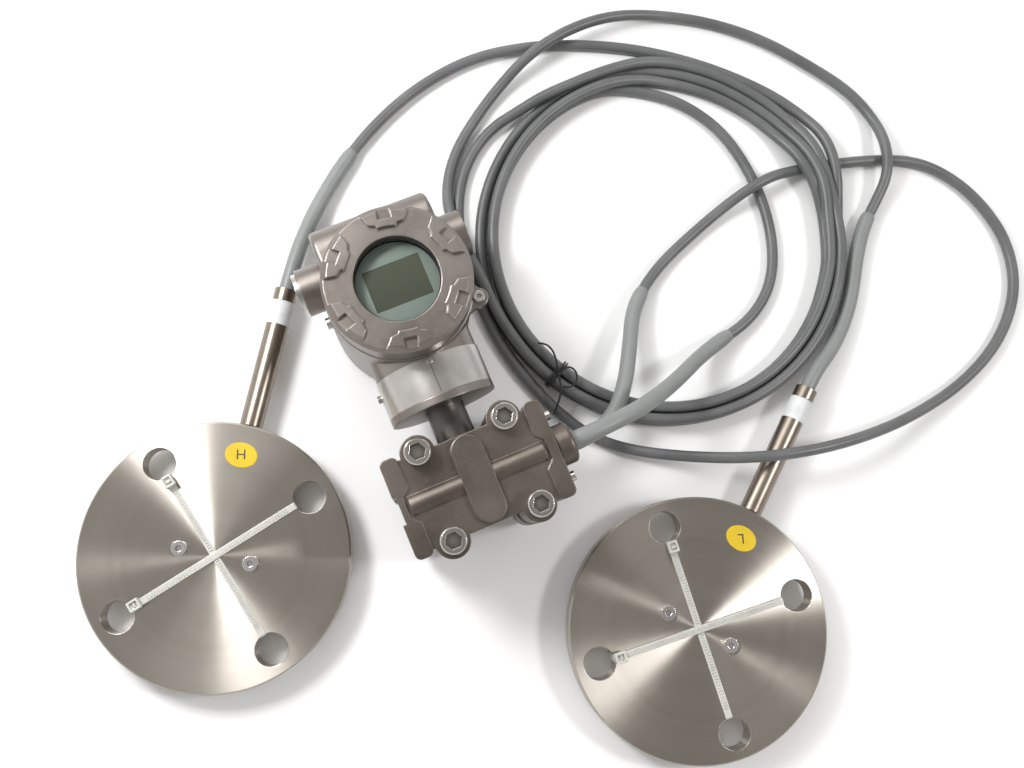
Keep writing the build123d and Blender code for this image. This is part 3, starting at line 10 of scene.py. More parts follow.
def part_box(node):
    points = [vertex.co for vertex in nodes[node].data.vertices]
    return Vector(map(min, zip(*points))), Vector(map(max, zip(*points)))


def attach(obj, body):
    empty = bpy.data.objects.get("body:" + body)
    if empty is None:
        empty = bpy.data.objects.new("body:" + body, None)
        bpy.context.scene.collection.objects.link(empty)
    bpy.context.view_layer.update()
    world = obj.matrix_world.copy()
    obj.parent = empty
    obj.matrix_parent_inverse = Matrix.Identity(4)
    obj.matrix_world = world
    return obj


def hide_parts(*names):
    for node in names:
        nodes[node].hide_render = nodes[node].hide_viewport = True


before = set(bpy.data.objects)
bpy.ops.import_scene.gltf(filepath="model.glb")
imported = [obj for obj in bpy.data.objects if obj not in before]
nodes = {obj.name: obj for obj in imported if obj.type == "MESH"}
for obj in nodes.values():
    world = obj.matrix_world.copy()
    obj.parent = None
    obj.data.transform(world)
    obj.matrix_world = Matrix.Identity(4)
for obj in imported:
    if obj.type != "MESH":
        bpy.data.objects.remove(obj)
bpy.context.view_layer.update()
stage = bpy.context.scene

MM = 0.001
CELL = "measuring_cell"


def linked(name, data):
    """A new object in the scene, standing at the origin."""
    made = bpy.data.objects.new(name, data)
    stage.collection.objects.link(made)
    return made


# Camera at the photograph's viewing angle
EYE = Vector((-0.0439, -0.1589, 0.728))
TARGET = Vector((0.0557, -0.0728, 0.0))
UP = Vector((0.389, 0.921, 0.0))


def facing(place, target, up):
    """The matrix of a camera or lamp at a place, looking at the target."""
    back = (place - target).normalized()
    right = up.cross(back).normalized()
    turn = Matrix((right, back.cross(right), back)).transposed()
    return Matrix.Translation(place) @ turn.to_4x4()


lens = bpy.data.cameras.new("camera")
lens.sensor_width = 36
lens.lens = 36  # in millimetres, as the sensor
lens.clip_start = 0.02
lens.clip_end = 20
camera = linked("camera", lens)
camera.matrix_world = facing(EYE, TARGET, UP)
stage.camera = camera

# Capillaries: the routes of part.py, in metres, and the turns of the coil
CORD_R = 0.004
SLEEVE_R = 0.0056
COIL_CENTRE = (0.2, -0.016)
SPLINE_CUT = 1.0086  # a spline runs inside its control points by this share

HIGH_LEAD = [
    (0.065, -0.131, 0.087),
    (0.103, -0.131, 0.087),
    (0.15, -0.121, 0.046),
    (0.196, -0.104, 0.01),
    (0.24, -0.096, 0.005),
    (0.271, -0.07, 0.0042),
    (0.287, -0.02, 0.0042),
    (0.283, 0.038, 0.0042),
    (0.262, 0.076, 0.0042),
    (0.232, 0.099, 0.0042),
]
HIGH_TAIL = [
    (-0.0681, 0.0473, 0.0149),
    (-0.0543, 0.067, 0.0149),
    (-0.032, 0.093, 0.01),
    (-0.003, 0.119, 0.006),
    (0.032, 0.142, 0.0058),
    (0.075, 0.16, 0.005),
    (0.122, 0.168, 0.0042),
    (0.166, 0.162, 0.0042),
    (0.208, 0.148, 0.0042),
    (0.25, 0.127, 0.0042),
    (0.29, 0.098, 0.0042),
    (0.324, 0.064, 0.0042),
    (0.341, 0.038, 0.005),
    (0.349, 0.011, 0.013),
    (0.3455, -0.017, 0.013),
    (0.335, -0.046, 0.0046),
    (0.322, -0.074, 0.0042),
]
LOW_LEAD = [
    (0.065, -0.131, 0.033),
    (0.09, -0.131, 0.033),
    (0.11, -0.1225, 0.032),
    (0.126, -0.1055, 0.028),
    (0.141, -0.083, 0.02),
    (0.158, -0.055, 0.01),
    (0.187, -0.034, 0.005),
    (0.226, -0.019, 0.0046),
    (0.256, -0.0095, 0.0065),
    (0.277, -0.005, 0.013),
    (0.297, -0.0025, 0.013),
    (0.321, -0.0035, 0.0044),
    (0.349, -0.009, 0.0042),
    (0.383, -0.0185, 0.0042),
    (0.412, -0.031, 0.0042),
    (0.433, -0.054, 0.0042),
    (0.446, -0.084, 0.0042),
    (0.45, -0.117, 0.0042),
    (0.439, -0.152, 0.0042),
    (0.409, -0.182, 0.0042),
    (0.367, -0.2, 0.005),
    (0.318, -0.207, 0.011),
    (0.272, -0.206, 0.024),
    (0.229, -0.2, 0.032),
    (0.186, -0.188, 0.032),
    (0.146, -0.169, 0.019),
    (0.113, -0.149, 0.007),
    (0.091, -0.128, 0.0042),
    (0.077, -0.103, 0.0042),
    (0.067, -0.077, 0.0042),
    (0.06, -0.05, 0.0042),
    (0.057, -0.022, 0.0042),
    (0.0575, 0.006, 0.0042),
    (0.0605, 0.033, 0.0042),
    (0.067, 0.058, 0.0042),
    (0.079, 0.081, 0.0042),
    (0.096, 0.099, 0.0042),
    (0.117, 0.111, 0.0042),
    (0.14, 0.115, 0.0068),
]
LOW_TAIL = [
    (0.2503, -0.1588, 0.0149),
    (0.2618, -0.1492, 0.0149),
    (0.281, -0.14, 0.01),
    (0.3, -0.126, 0.0065),
    (0.317, -0.107, 0.0058),
    (0.333, -0.082, 0.0058),
    (0.349, -0.062, 0.0058),
    (0.366, -0.049, 0.007),
    (0.382, -0.033, 0.013),
    (0.391, -0.01, 0.013),
    (0.394, 0.015, 0.005),
    (0.386, 0.041, 0.0042),
    (0.367, 0.069, 0.0042),
    (0.341, 0.102, 0.0042),
    (0.308, 0.13, 0.0042),
    (0.271, 0.15, 0.005),
    (0.235, 0.159, 0.012),
    (0.2, 0.159, 0.015),
    (0.166, 0.152, 0.015),
    (0.139, 0.141, 0.007),
    (0.113, 0.126, 0.0042),
    (0.084, 0.104, 0.0042),
    (0.067, 0.08, 0.0048),
    (0.06, 0.057, 0.0115),
    (0.061, 0.033, 0.0132),
]


def round_coil(bearing, reach, height, cut=SPLINE_CUT):
    """A point of a turn, from its bearing in degrees and its reach and height in millimetres."""
    turned_by = radians(bearing)
    out = reach * MM * cut
    return (COIL_CENTRE[0] + out * cos(turned_by), COIL_CENTRE[1] + out * sin(turned_by),
            height * MM)


def turn_points(rows):
    """Points of a turn where it climbs, sinks or bends, one for each row."""
    return [round_coil(*row) for row in rows]


def tie_lift(bearing):
    """How far the wire tie under the turns lifts them there, in millimetres."""
    away = abs(bearing % 360 - 207)
    return max(0.0, 1.4 - away / 12)


def long_turn(first, last, step, reach, height):
    """The even stretch of a turn between two bearings."""
    return [round_coil(bearing, reach, height + tie_lift(bearing))
            for bearing in range(first, last, step)]


high_turns = (
    [round_coil(87, 124.5, 4.2)]
    + long_turn(102, 335, 15, 125.6, 4.2)
    + turn_points([
        (335, 125.6, 4.2), (346, 125.4, 5.2), (354, 124.8, 9), (361, 123.8, 12.8),
        (370, 123, 12.8), (379, 122.9, 6.5), (390, 122.9, 4.2), (404, 122.9, 4.2),
        (416, 123.5, 4.2), (426, 124.5, 5), (435, 125.6, 8.8), (447, 125.8, 12.4)])
    + long_turn(462, 695, 15, 125.6, 12.4)
    + turn_points([
        (695, 125.6, 12.4), (706, 125.6, 13.4), (714, 128.2, 15.6), (721, 130.4, 15.4),
        (730, 131, 13.4), (739, 131.1, 6.6), (750, 131.1, 4.2), (764, 131.1, 4.2),
        (776, 131.8, 4.2), (786, 132.8, 4.2), (795, 133.8, 4.2), (807, 134.2, 4.2)])
    + long_turn(822, 1050, 15, 134.4, 4.2)
)
low_turns = (
    turn_points([
        (107, 138.6, 11.2), (98, 134.8, 12.4), (87, 134.6, 12.4), (75, 137.6, 11.4),
        (66, 139.4, 8.6), (56, 139.8, 5.2), (45, 139.4, 4.2), (31, 139.4, 4.2),
        (20, 139.2, 5.6), (11, 138.4, 12.4), (2, 136.4, 12.8), (-6, 133.4, 12.8),
        (-14, 133, 12.4), (-25, 134.2, 12.4)])
    + long_turn(-40, -178, -15, 134.4, 12.4)
    + turn_points([(-182, 134.8, 12.4), (-189, 136.6, 12.8), (-195, 141.4, 13.2)])
)


ROUND_STEPS = 5
RING = 4 + 2 * ROUND_STEPS  # points in each ring of a tube


def nurbs(name, points, thickness=0.0, radii=None):
    """A curve of one open, smooth spline through the control points."""
    data = bpy.data.curves.new(name, "CURVE")
    data.dimensions = "3D"
    data.resolution_u = 8
    line = data.splines.new("NURBS")
    line.points.add(len(points) - 1)
    for number, place in enumerate(points):
        line.points[number].co = (*place, 1.0)
        if radii:
            line.points[number].radius = radii[number]
    line.order_u = 3
    line.use_endpoint_u = True
    line.use_smooth = True
    data.bevel_depth = thickness
    data.bevel_resolution = ROUND_STEPS
    data.use_fill_caps = thickness > 0
    return linked(name, data)


def read_mesh(curve):
    """The mesh that a curve gives; the curve itself is taken away."""
    graph = bpy.context.evaluated_depsgraph_get()
    mesh = bpy.data.meshes.new_from_object(curve.evaluated_get(graph))
    bpy.data.objects.remove(curve)
    return mesh


def tube(name, points, thickness, radii=None):
    """A round tube along a spline, with its running length kept on its points."""
    path = [v.co.copy() for v in read_mesh(nurbs(name + "_line", points)).vertices]
    mesh = read_mesh(nurbs(name, points, thickness, radii))
    mesh.name = name
    run = [0.0]
    for before, after in zip(path, path[1:]):
        run.append(run[-1] + (after - before).length)
    along = mesh.attributes.new("along", "FLOAT", "POINT")
    for vertex in mesh.vertices:
        ring = min(vertex.index // RING, len(run) - 1)
        along.data[vertex.index].value = run[ring]
    return linked(name, mesh), path


def stretch(path, length):
    """The points of a path within a length of its start."""
    kept = [path[0]]
    run = 0.0
    for before, after in zip(path, path[1:]):
        run += (after - before).length
        if run > length:
            break
        kept.append(after)
    return kept


def settle(made, slot, *stands_for):
    """Fixes a piece to the cell and hides the nodes that it stands for; its slot is not used."""
    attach(made, CELL)
    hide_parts(*stands_for)
    return made


def sleeve(name, path, length):
    """The thicker sleeve over one end of a capillary, its far lip drawn in."""
    points = stretch(path, length)
    radii = [1.0] * len(points)
    radii[-1] = CORD_R / SLEEVE_R + 0.08
    radii[-2] = 0.98
    made, _ = tube(name + "_cover", points, SLEEVE_R, radii)
    return settle(made, "sleeve_sheath", name)


def capillary(name, points, sleeves, stands_for):
    """One capillary from the cell to its seal, with its two sleeves."""
    made, path = tube(name, points, CORD_R)
    settle(made, "capillary_sheath", *stands_for)
    lead, lead_length, tail, tail_length = sleeves
    covers = [sleeve(lead, path, lead_length), sleeve(tail, path[::-1], tail_length)]
    return made, path, covers


high_cord, high_path, high_covers = capillary(
    "high_capillary", HIGH_LEAD + high_turns + HIGH_TAIL[::-1],
    ("high_lead_sleeve", 0.182, "high_tail_sleeve", 0.119),
    ("high_capillary_lead", "high_capillary_tail", "capillary_coil"))
low_cord, low_path, low_covers = capillary(
    "low_capillary", LOW_LEAD + low_turns + LOW_TAIL[::-1],
    ("low_lead_sleeve", 0.15, "low_tail_sleeve", 0.152),
    ("low_capillary_lead", "low_capillary_tail"))

# Wire tie of the coil: two wraps, and its ends twisted and left loose
TIE_WIRE_R = 0.0007
TIE_AT = 208.4  # its bearing round the coil, in degrees
TIE_REACH = 130.0  # the middle of the bundle, in millimetres
TIE_MIDDLE = 9.6
WRAP_PITCH = 0.9  # degrees of bearing from one wrap to the next
WRAP = [(0, 9.2), (5.5, 9.2), (9.6, 8.4), (9.8, 4), (9.8, -4), (9.4, -8.1), (5.5, -8.8),
        (-5.5, -8.8), (-9.4, -8.1), (-9.8, -4), (-9.8, 4), (-9.6, 8.4), (-5.5, 9.2)]

wraps = [round_coil(TIE_AT + (WRAP_PITCH * turn + WRAP_PITCH * step / len(WRAP)),
                    TIE_REACH + side, TIE_MIDDLE + height, 1.0)
         for turn in range(2) for step, (side, height) in enumerate(WRAP)]
curl = [(0.0862, -0.0812, 0.0204), (0.0868, -0.0772, 0.0222), (0.0882, -0.0712, 0.0242),
        (0.0884, -0.0636, 0.0246), (0.0856, -0.0576, 0.0234), (0.0812, -0.0552, 0.0216)]
loop = [(0.0862, -0.0816, 0.0206), (0.0906, -0.0788, 0.0222), (0.0956, -0.0794, 0.023),
        (0.0984, -0.0848, 0.0226), (0.0962, -0.0912, 0.0216), (0.0904, -0.0936, 0.0206),
        (0.0858, -0.0904, 0.0198)]
tail = [(0.086, -0.082, 0.0204), (0.0852, -0.0878, 0.0208), (0.0822, -0.0948, 0.0192),
        (0.0772, -0.1012, 0.0152), (0.0736, -0.1052, 0.0086)]
KNOT = (0.0862, -0.0816, 0.0176)
KNOT_R = 0.0009
KNOT_RISE = 0.00028
knot = [(KNOT[0] + KNOT_R * cos(step * pi / 2), KNOT[1] + KNOT_R * sin(step * pi / 2),
         KNOT[2] + KNOT_RISE * step) for step in range(14)]
wire_parts = [tube("tie_part", points, TIE_WIRE_R)[0]
              for points in (wraps, curl, loop, tail, knot)]
joined = bmesh.new()
for part in wire_parts:
    joined.from_mesh(part.data)
    bpy.data.objects.remove(part)
wire_mesh = bpy.data.meshes.new("coil_wire_tie")
joined.to_mesh(wire_mesh)
joined.free()
coil_wire = settle(linked("coil_wire_tie", wire_mesh), "tie_wire", "coil_tie")

# Cable ties that hold the protective caps on the seals
SEAL_CENTRES = {"high": (-0.1765, -0.1075), "low": (0.1055, -0.2803)}
SEAL_STEMS = {"high": 55.0, "low": 40.0}
STRAP_HALF = 0.0624
STRAP = 0.0012
STRAP_WIDTH = 0.0048
HEAD_LONG = 0.008
HEAD_TALL = 0.0055
HEAD_WALL = 0.0022
TEETH = 52
TOOTH = (0.0006, 0.0026, 0.00036)
TOOTH_PITCH = 0.00204


def soften(shape, edges, offset, segments=3):
    """Rounds those edges."""
    bmesh.ops.bevel(shape, geom=edges, offset=offset, offset_type="OFFSET", segments=segments,
                    profile=0.5, affect="EDGES", clamp_overlap=True, material=-1)


def sharp_edges(shape):
    """The edges whose two faces meet at more than one radian."""
    return [edge for edge in shape.edges if edge.calc_face_angle(0.0) > 1.0]


def cube(shape, size, place=(0, 0, 0)):
    """The corners of a new box of that size in metres, its middle at the place."""
    made = bmesh.ops.create_cube(shape, size=1.0)["verts"]
    bmesh.ops.scale(shape, verts=made, vec=size)
    bmesh.ops.translate(shape, verts=made, vec=place)
    return made


def strap_band(shape, low, high):
    """The closed strap: up through two holes and across, its corners bent round."""
    corners = [shape.verts.new((side * STRAP_HALF, -STRAP_WIDTH / 2, height))
               for side, height in ((-1, low), (1, low), (1, high), (-1, high))]
    edges = [shape.edges.new((corners[k], corners[(k + 1) % 4])) for k in range(4)]
    bmesh.ops.bevel(shape, geom=corners + edges, offset=0.0016, offset_type="OFFSET", segments=5,
                    profile=0.5, affect="VERTICES", material=-1)
    wide = bmesh.ops.extrude_edge_only(shape, edges=shape.edges[:])
    moved = [part for part in wide["geom"] if isinstance(part, bmesh.types.BMVert)]
    bmesh.ops.translate(shape, verts=moved, vec=(0, STRAP_WIDTH, 0))
    bmesh.ops.recalc_face_normals(shape, faces=shape.faces[:])
    bmesh.ops.solidify(shape, geom=shape.faces[:], thickness=STRAP)
    bmesh.ops.recalc_face_normals(shape, faces=shape.faces[:])
    soften(shape, sharp_edges(shape), 0.00028, 2)


def block(shape, size, place, round_by):
    """A box of that size in metres with rounded edges, its middle at the place."""
    made = cube(shape, size, place)
    edges = dict.fromkeys(edge for vertex in made for edge in vertex.link_edges)
    soften(shape, list(edges), round_by)


def ratchet_head(x, z):
    """The mesh of a tie's head, with the slot that its tail comes through."""
    head = bmesh.new()
    cube(head, (HEAD_LONG, HEAD_LONG - 0.0008, HEAD_TALL))
    top = [face for face in head.faces if face.normal.z > 0.9]
    bmesh.ops.inset_region(head, faces=top, thickness=HEAD_WALL, depth=0.0)
    slot = bmesh.ops.extrude_discrete_faces(head, faces=top)["faces"]
    bmesh.ops.translate(head, verts=slot[0].verts[:], vec=(0, 0, -HEAD_WALL))
    soften(head, sharp_edges(head), 0.0008)
    bmesh.ops.translate(head, verts=head.verts[:], vec=(x, 0, z))
    mesh = bpy.data.meshes.new("tie_head")
    head.to_mesh(mesh)
    head.free()
    return mesh


def cable_tie(name, side, turn):
    """One nylon tie with its toothed channel, ratchet head and cut tail."""
    low_corner, high_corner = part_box(name)
    low = low_corner.z + STRAP / 2
    high = high_corner.z - HEAD_TALL - STRAP / 2
    shape = bmesh.new()
    strap_band(shape, low, high)
    head_x = STRAP_HALF - HEAD_LONG / 2
    head_z = high + STRAP / 2 + HEAD_TALL / 2
    head_mesh = ratchet_head(head_x, head_z)
    shape.from_mesh(head_mesh)
    bpy.data.meshes.remove(head_mesh)
    block(shape, (0.0012, 0.0034, 0.0036), (head_x - 0.0004, 0, head_z + 0.0006), 0.0004)
    for number in range(TEETH):
        block(shape, TOOTH, (head_x - 0.009 - number * TOOTH_PITCH, 0, high + STRAP / 2), 0.0001)
    mesh = bpy.data.meshes.new(name + "_strap")
    shape.to_mesh(mesh)
    shape.free()
    mesh.transform(Matrix.Rotation(radians(turn), 4, "Z"))
    mesh.transform(Matrix.Translation((*SEAL_CENTRES[side], 0)))
    return settle(linked(name + "_strap", mesh), "tie_nylon", name)


cable_ties = [cable_tie(f"{side}_{layer}_cable_tie", side, SEAL_STEMS[side] + 45 + quarter)
              for side in SEAL_STEMS for layer, quarter in (("inner", 0), ("outer", 90))]


# Materials
class Channel:
    """An output of a node, on which plain arithmetic adds Math nodes."""

    def __init__(self, graph, socket):
        self.graph = graph
        self.socket = socket

    def math(self, operation, *values):
        return self.graph.node("ShaderNodeMath", {"operation": operation}, values)

    def __add__(self, other):
        return self.math("ADD", self, other)

    __radd__ = __add__

    def __sub__(self, other):
        return self.math("SUBTRACT", self, other)

    def __rsub__(self, other):
        return self.math("SUBTRACT", other, self)

    def __mul__(self, other):
        return self.math("MULTIPLY", self, other)

    __rmul__ = __mul__

    def __pow__(self, other):
        return self.math("POWER", self, other)

    def sine(self):
        return self.math("SINE", self)

    def within(self, low, high):
        """0 below low, 1 above high and an even rise between them."""
        return self.graph.node("ShaderNodeMapRange", {"clamp": True},
                               {"Value": self, "From Min": low, "From Max": high})


class Graph:
    """A node tree, built up by short calls."""

    def __init__(self, tree):
        self.tree = tree

    def node(self, kind, settings=None, values=(), output=0):
        """A node with its settings made first, then its values and links."""
        made = self.tree.nodes.new(kind)
        for key, value in (settings or {}).items():
            setattr(made, key, value)
        pairs = values.items() if isinstance(values, dict) else enumerate(values)
        for key, value in pairs:
            self.put(made.inputs[key], value)
        return Channel(self, made.outputs[output])

    def put(self, socket, value):
        if isinstance(value, Channel):
            self.tree.links.new(value.socket, socket)
        else:
            socket.default_value = value

    def mix(self, share, first, second):
        """A colour between two, the first where the share is 0."""
        first, second = (colour if isinstance(colour, Channel) else (*colour, 1.0)
                         for colour in (first, second))
        return self.node("ShaderNodeMix", {"data_type": "RGBA"},
                         {0: share, 6: first, 7: second}, output=2)


class Finish(Graph):
    """A material with one main shader."""

    def __init__(self, name, **sockets):
        self.material = bpy.data.materials.new(name)
        self.material.use_nodes = True
        super().__init__(self.material.node_tree)
        self.shader = self.tree.nodes["Principled BSDF"]
        self.output = self.tree.nodes["Material Output"]
        self.show(**sockets)
        self.place = self.node("ShaderNodeTexCoord", output="Object")

    def show(self, **sockets):
        """Sets or links the shader's sockets, and gives the material."""
        for key, value in sockets.items():
            name = key.replace("_", " ").title().replace("Ior", "IOR")
            self.put(self.shader.inputs[name], value)
        return self.material

    def noise(self, scale, detail=3.0, rough=0.55, stretch=(1, 1, 1)):
        """Soft random tone from 0 to 1, its scale in spots per metre."""
        spot = self.place
        if stretch != (1, 1, 1):
            spot = self.node("ShaderNodeMapping", None, {"Vector": spot, "Scale": stretch})
        return self.node("ShaderNodeTexNoise", None,
                         {"Vector": spot, "Scale": scale, "Detail": detail, "Roughness": rough})

    def rings(self, reach, scale, detail):
        """Soft random tone that changes only with the reach."""
        return self.node("ShaderNodeTexNoise", {"noise_dimensions": "1D"},
                         {"W": reach, "Scale": scale, "Detail": detail})

    def axes(self, centre=(0.0, 0.0)):
        """The three coordinates of a point, from an upright line through a centre in metres."""
        spot = self.node("ShaderNodeMapping", None, {
            "Vector": self.place, "Location": (-centre[0], -centre[1], 0.0)})
        parts = self.node("ShaderNodeSeparateXYZ", None, [spot]).socket.node
        return [Channel(self, part) for part in parts.outputs]

    def reach(self, centre=(0.0, 0.0)):
        """The distance from that upright line, in metres."""
        x, y, _ = self.axes(centre)
        return (x * x + y * y) ** 0.5

    def edges(self, radius):
        """1 on sharp edges and 0 on flat faces, and the normal rounded by that many metres."""
        rounded = self.node("ShaderNodeBevel", {"samples": 8}, {"Radius": radius})
        plain = self.node("ShaderNodeNewGeometry", output="Normal")
        straight = self.node("ShaderNodeVectorMath", {"operation": "DOT_PRODUCT"},
                             [rounded, plain], output="Value")
        return (1 - straight).within(0.02, 0.5), rounded

    def painted_shade_mask(self, distance):
        """Mask of painted shade: 1 in deep corners and sockets within that distance in metres, 0
        in the open.
        """
        open_share = self.node("ShaderNodeAmbientOcclusion", {"samples": 6, "only_local": True},
                               {"Distance": distance}, output="AO")
        return 1 - open_share.within(0.25, 0.85)

    def bump(self, height, depth, normal=None):
        """Relief from a height of 0 to 1, its depth in metres."""
        values = {"Height": height, "Distance": depth, "Strength": 1.0}
        if normal:
            values["Normal"] = normal
        return self.node("ShaderNodeBump", None, values)


def casting(name, dark, light, roughness, grain=0.00003):
    """Bead-blasted cast steel: warm grey, mottled, its edges rubbed bright, and painted shade
    darkening its hollows.
    """
    finish = Finish(name, metallic=1.0)
    cloud = finish.noise(22, 4, 0.6)
    spots = finish.noise(420, 3, 0.6)
    blast = finish.noise(2600, 2, 0.6)
    worn, rounded = finish.edges(0.0011)
    worn = worn * finish.noise(140, 3).within(0.3, 0.62)
    body = finish.mix(cloud.within(0.32, 0.7), dark, light)
    body = finish.mix(spots.within(0.55, 0.8) * 0.35, body, tuple(c * 1.18 for c in light))
    body = finish.mix(worn * 0.4, body, (0.74, 0.71, 0.68))
    # Painted shade: hollows and corners darkened by ambient occlusion.
    body = finish.mix(finish.painted_shade_mask(0.004) * 0.5, body, tuple(c * 0.42 for c in dark))
    rough = roughness + (cloud - 0.5) * 0.12 + (blast - 0.5) * 0.1 - worn * 0.08
    return finish.show(base_color=body, roughness=rough,
                       normal=finish.bump(blast + spots * 1.6, grain, rounded))


def turned(name, centre):
    """Face-turned steel with fine rings, which throw the light in bright rays."""
    finish = Finish(name, metallic=1.0, anisotropic=1.0, anisotropic_rotation=0.25)
    reach = finish.reach(centre)
    rings = finish.rings(reach, 1500.0, 2.0)
    bands = finish.rings(reach, 60.0, 3.0)
    cloud = finish.noise(28, 4)
    smear = finish.noise(120, 3, 0.6)
    worn, rounded = finish.edges(0.0006)
    body = finish.mix(bands.within(0.3, 0.7), (0.445, 0.41, 0.365), (0.495, 0.46, 0.415))
    body = finish.mix(cloud.within(0.5, 0.75) * 0.4, body, (0.43, 0.39, 0.34))
    body = finish.mix(worn * 0.5, body, (0.8, 0.79, 0.77))
    rough = 0.29 + (rings - 0.5) * 0.04 + smear.within(0.5, 0.8) * 0.04
    return finish.show(base_color=body, roughness=rough,
                       normal=finish.bump(rings, 0.000004, rounded))


def bright_steel(name, tone, roughness, relief=0.000008, edge=0.0004):
    """Machined or drawn steel with faint scratches, its sockets and hollows darkened nearly to
    black as painted shade.
    """
    finish = Finish(name, metallic=1.0)
    cloud = finish.noise(60, 3)
    scratch = finish.noise(900, 3, 0.7, stretch=(1, 0.12, 1))
    worn, rounded = finish.edges(edge)
    body = finish.mix(cloud.within(0.3, 0.7), tuple(c * 0.84 for c in tone), tone)
    body = finish.mix(worn * 0.4, body, (0.82, 0.81, 0.79))
    # Painted shade: sockets and hollows darkened nearly to black by ambient occlusion.
    body = finish.mix(finish.painted_shade_mask(0.006) * 0.9, body, tuple(c * 0.1 for c in tone))
    rough = roughness + (scratch - 0.5) * 0.1 + (cloud - 0.5) * 0.08
    return finish.show(base_color=body, roughness=rough,
                       normal=finish.bump(scratch, relief, rounded))


def plastic(name, dark, light, roughness, scale=90.0, relief=0.00001, wear=0.15, **sockets):
    """Moulded plastic, rubber or paper with a soft mottle."""
    finish = Finish(name, **sockets)
    cloud = finish.noise(scale, 3)
    fine = finish.noise(scale * 18, 2)
    worn, rounded = finish.edges(0.0004)
    body = finish.mix(cloud.within(0.3, 0.7), dark, light)
    body = finish.mix(worn * wear, body, tuple(min(1.0, c * 1.25 + 0.02) for c in light))
    rough = roughness + (cloud - 0.5) * 0.14 + (fine - 0.5) * 0.08
    return finish.show(base_color=body, roughness=rough,
                       normal=finish.bump(fine, relief, rounded))


def sheath(name, dark, light, pitch, relief, roughness):
    """Plastic sheath drawn over a wound armour, whose turns show as fine ribs."""
    finish = Finish(name)
    along = finish.node("ShaderNodeAttribute", {"attribute_name": "along"}, output="Fac")
    ribs = (along * (2 * pi / pitch)).sine() * 0.5 + 0.5
    cloud = finish.noise(34, 4)
    fine = finish.noise(1500, 2)
    body = finish.mix(cloud.within(0.3, 0.7), dark, light)
    body = finish.mix(ribs * 0.1, body, tuple(c * 1.3 for c in light))
    rough = roughness + (cloud - 0.5) * 0.14 + (fine - 0.5) * 0.1
    return finish.show(base_color=body, roughness=rough,
                       normal=finish.bump(ribs + fine * 0.25, relief))


def window_clear(name):
    """Clear window glass: it lets light through and mirrors more at its rim."""
    finish = Finish(name, roughness=0.04, ior=1.5)
    dust = finish.noise(160, 4, 0.7)
    finish.show(base_color=finish.mix(dust, (0.02, 0.022, 0.02), (0.05, 0.055, 0.05)),
                roughness=0.03 + dust.within(0.5, 0.8) * 0.06)
    clear = finish.node("ShaderNodeBsdfTransparent", None, [(0.975, 0.99, 0.98, 1)])
    share = finish.node("ShaderNodeFresnel", None, {"IOR": 1.5})
    mirror = Channel(finish, finish.shader.outputs[0])
    both = finish.node("ShaderNodeMixShader", None, [share * 0.9, clear, mirror])
    finish.put(finish.output.inputs[0], both)
    return finish.material


def panel(name):
    """Unlit liquid-crystal panel: dull green, faintly ruled in dots, lighter towards one corner.
    """
    finish = Finish(name, coat_weight=0.6, coat_roughness=0.08)
    x, y, _ = finish.axes()
    dots = ((x * 9000).sine() * (y * 9000).sine()).within(-0.6, 0.6)
    slope = (x * 12 + y * 18 + 0.5).within(0, 1)
    cloud = finish.noise(40, 2)
    body = finish.mix(slope, (0.1, 0.106, 0.07), (0.15, 0.158, 0.11))
    body = finish.mix(dots * 0.1, body, (0.2, 0.21, 0.16))
    return finish.show(base_color=body, roughness=0.34 + (cloud - 0.5) * 0.06)


def faceplate(name):
    """Pale grey-green lacquered plate round the display, with a dark rim."""
    finish = Finish(name)
    cloud = finish.noise(60, 3)
    fine = finish.noise(1400, 2)
    rim = finish.reach().within(0.0262, 0.0268)
    body = finish.mix(cloud.within(0.3, 0.7), (0.4, 0.465, 0.42), (0.46, 0.53, 0.48))
    body = finish.mix(rim, body, (0.09, 0.1, 0.092))
    rough = 0.42 + (cloud - 0.5) * 0.12 + (fine - 0.5) * 0.08
    return finish.show(base_color=body, roughness=rough, normal=finish.bump(fine, 0.000006))


def board(name):
    """Green circuit board with copper tracks under its lacquer."""
    finish = Finish(name, coat_weight=0.4)
    tracks = finish.node("ShaderNodeTexVoronoi", {"feature": "DISTANCE_TO_EDGE"},
                         {"Vector": finish.place, "Scale": 220.0})
    cloud = finish.noise(80, 3)
    body = finish.mix(cloud.within(0.3, 0.7), (0.012, 0.09, 0.035), (0.02, 0.14, 0.05))
    body = finish.mix((1 - tracks.within(0.02, 0.06)) * 0.8, body, (0.05, 0.26, 0.1))
    return finish.show(base_color=body, roughness=0.35 + (cloud - 0.5) * 0.2)


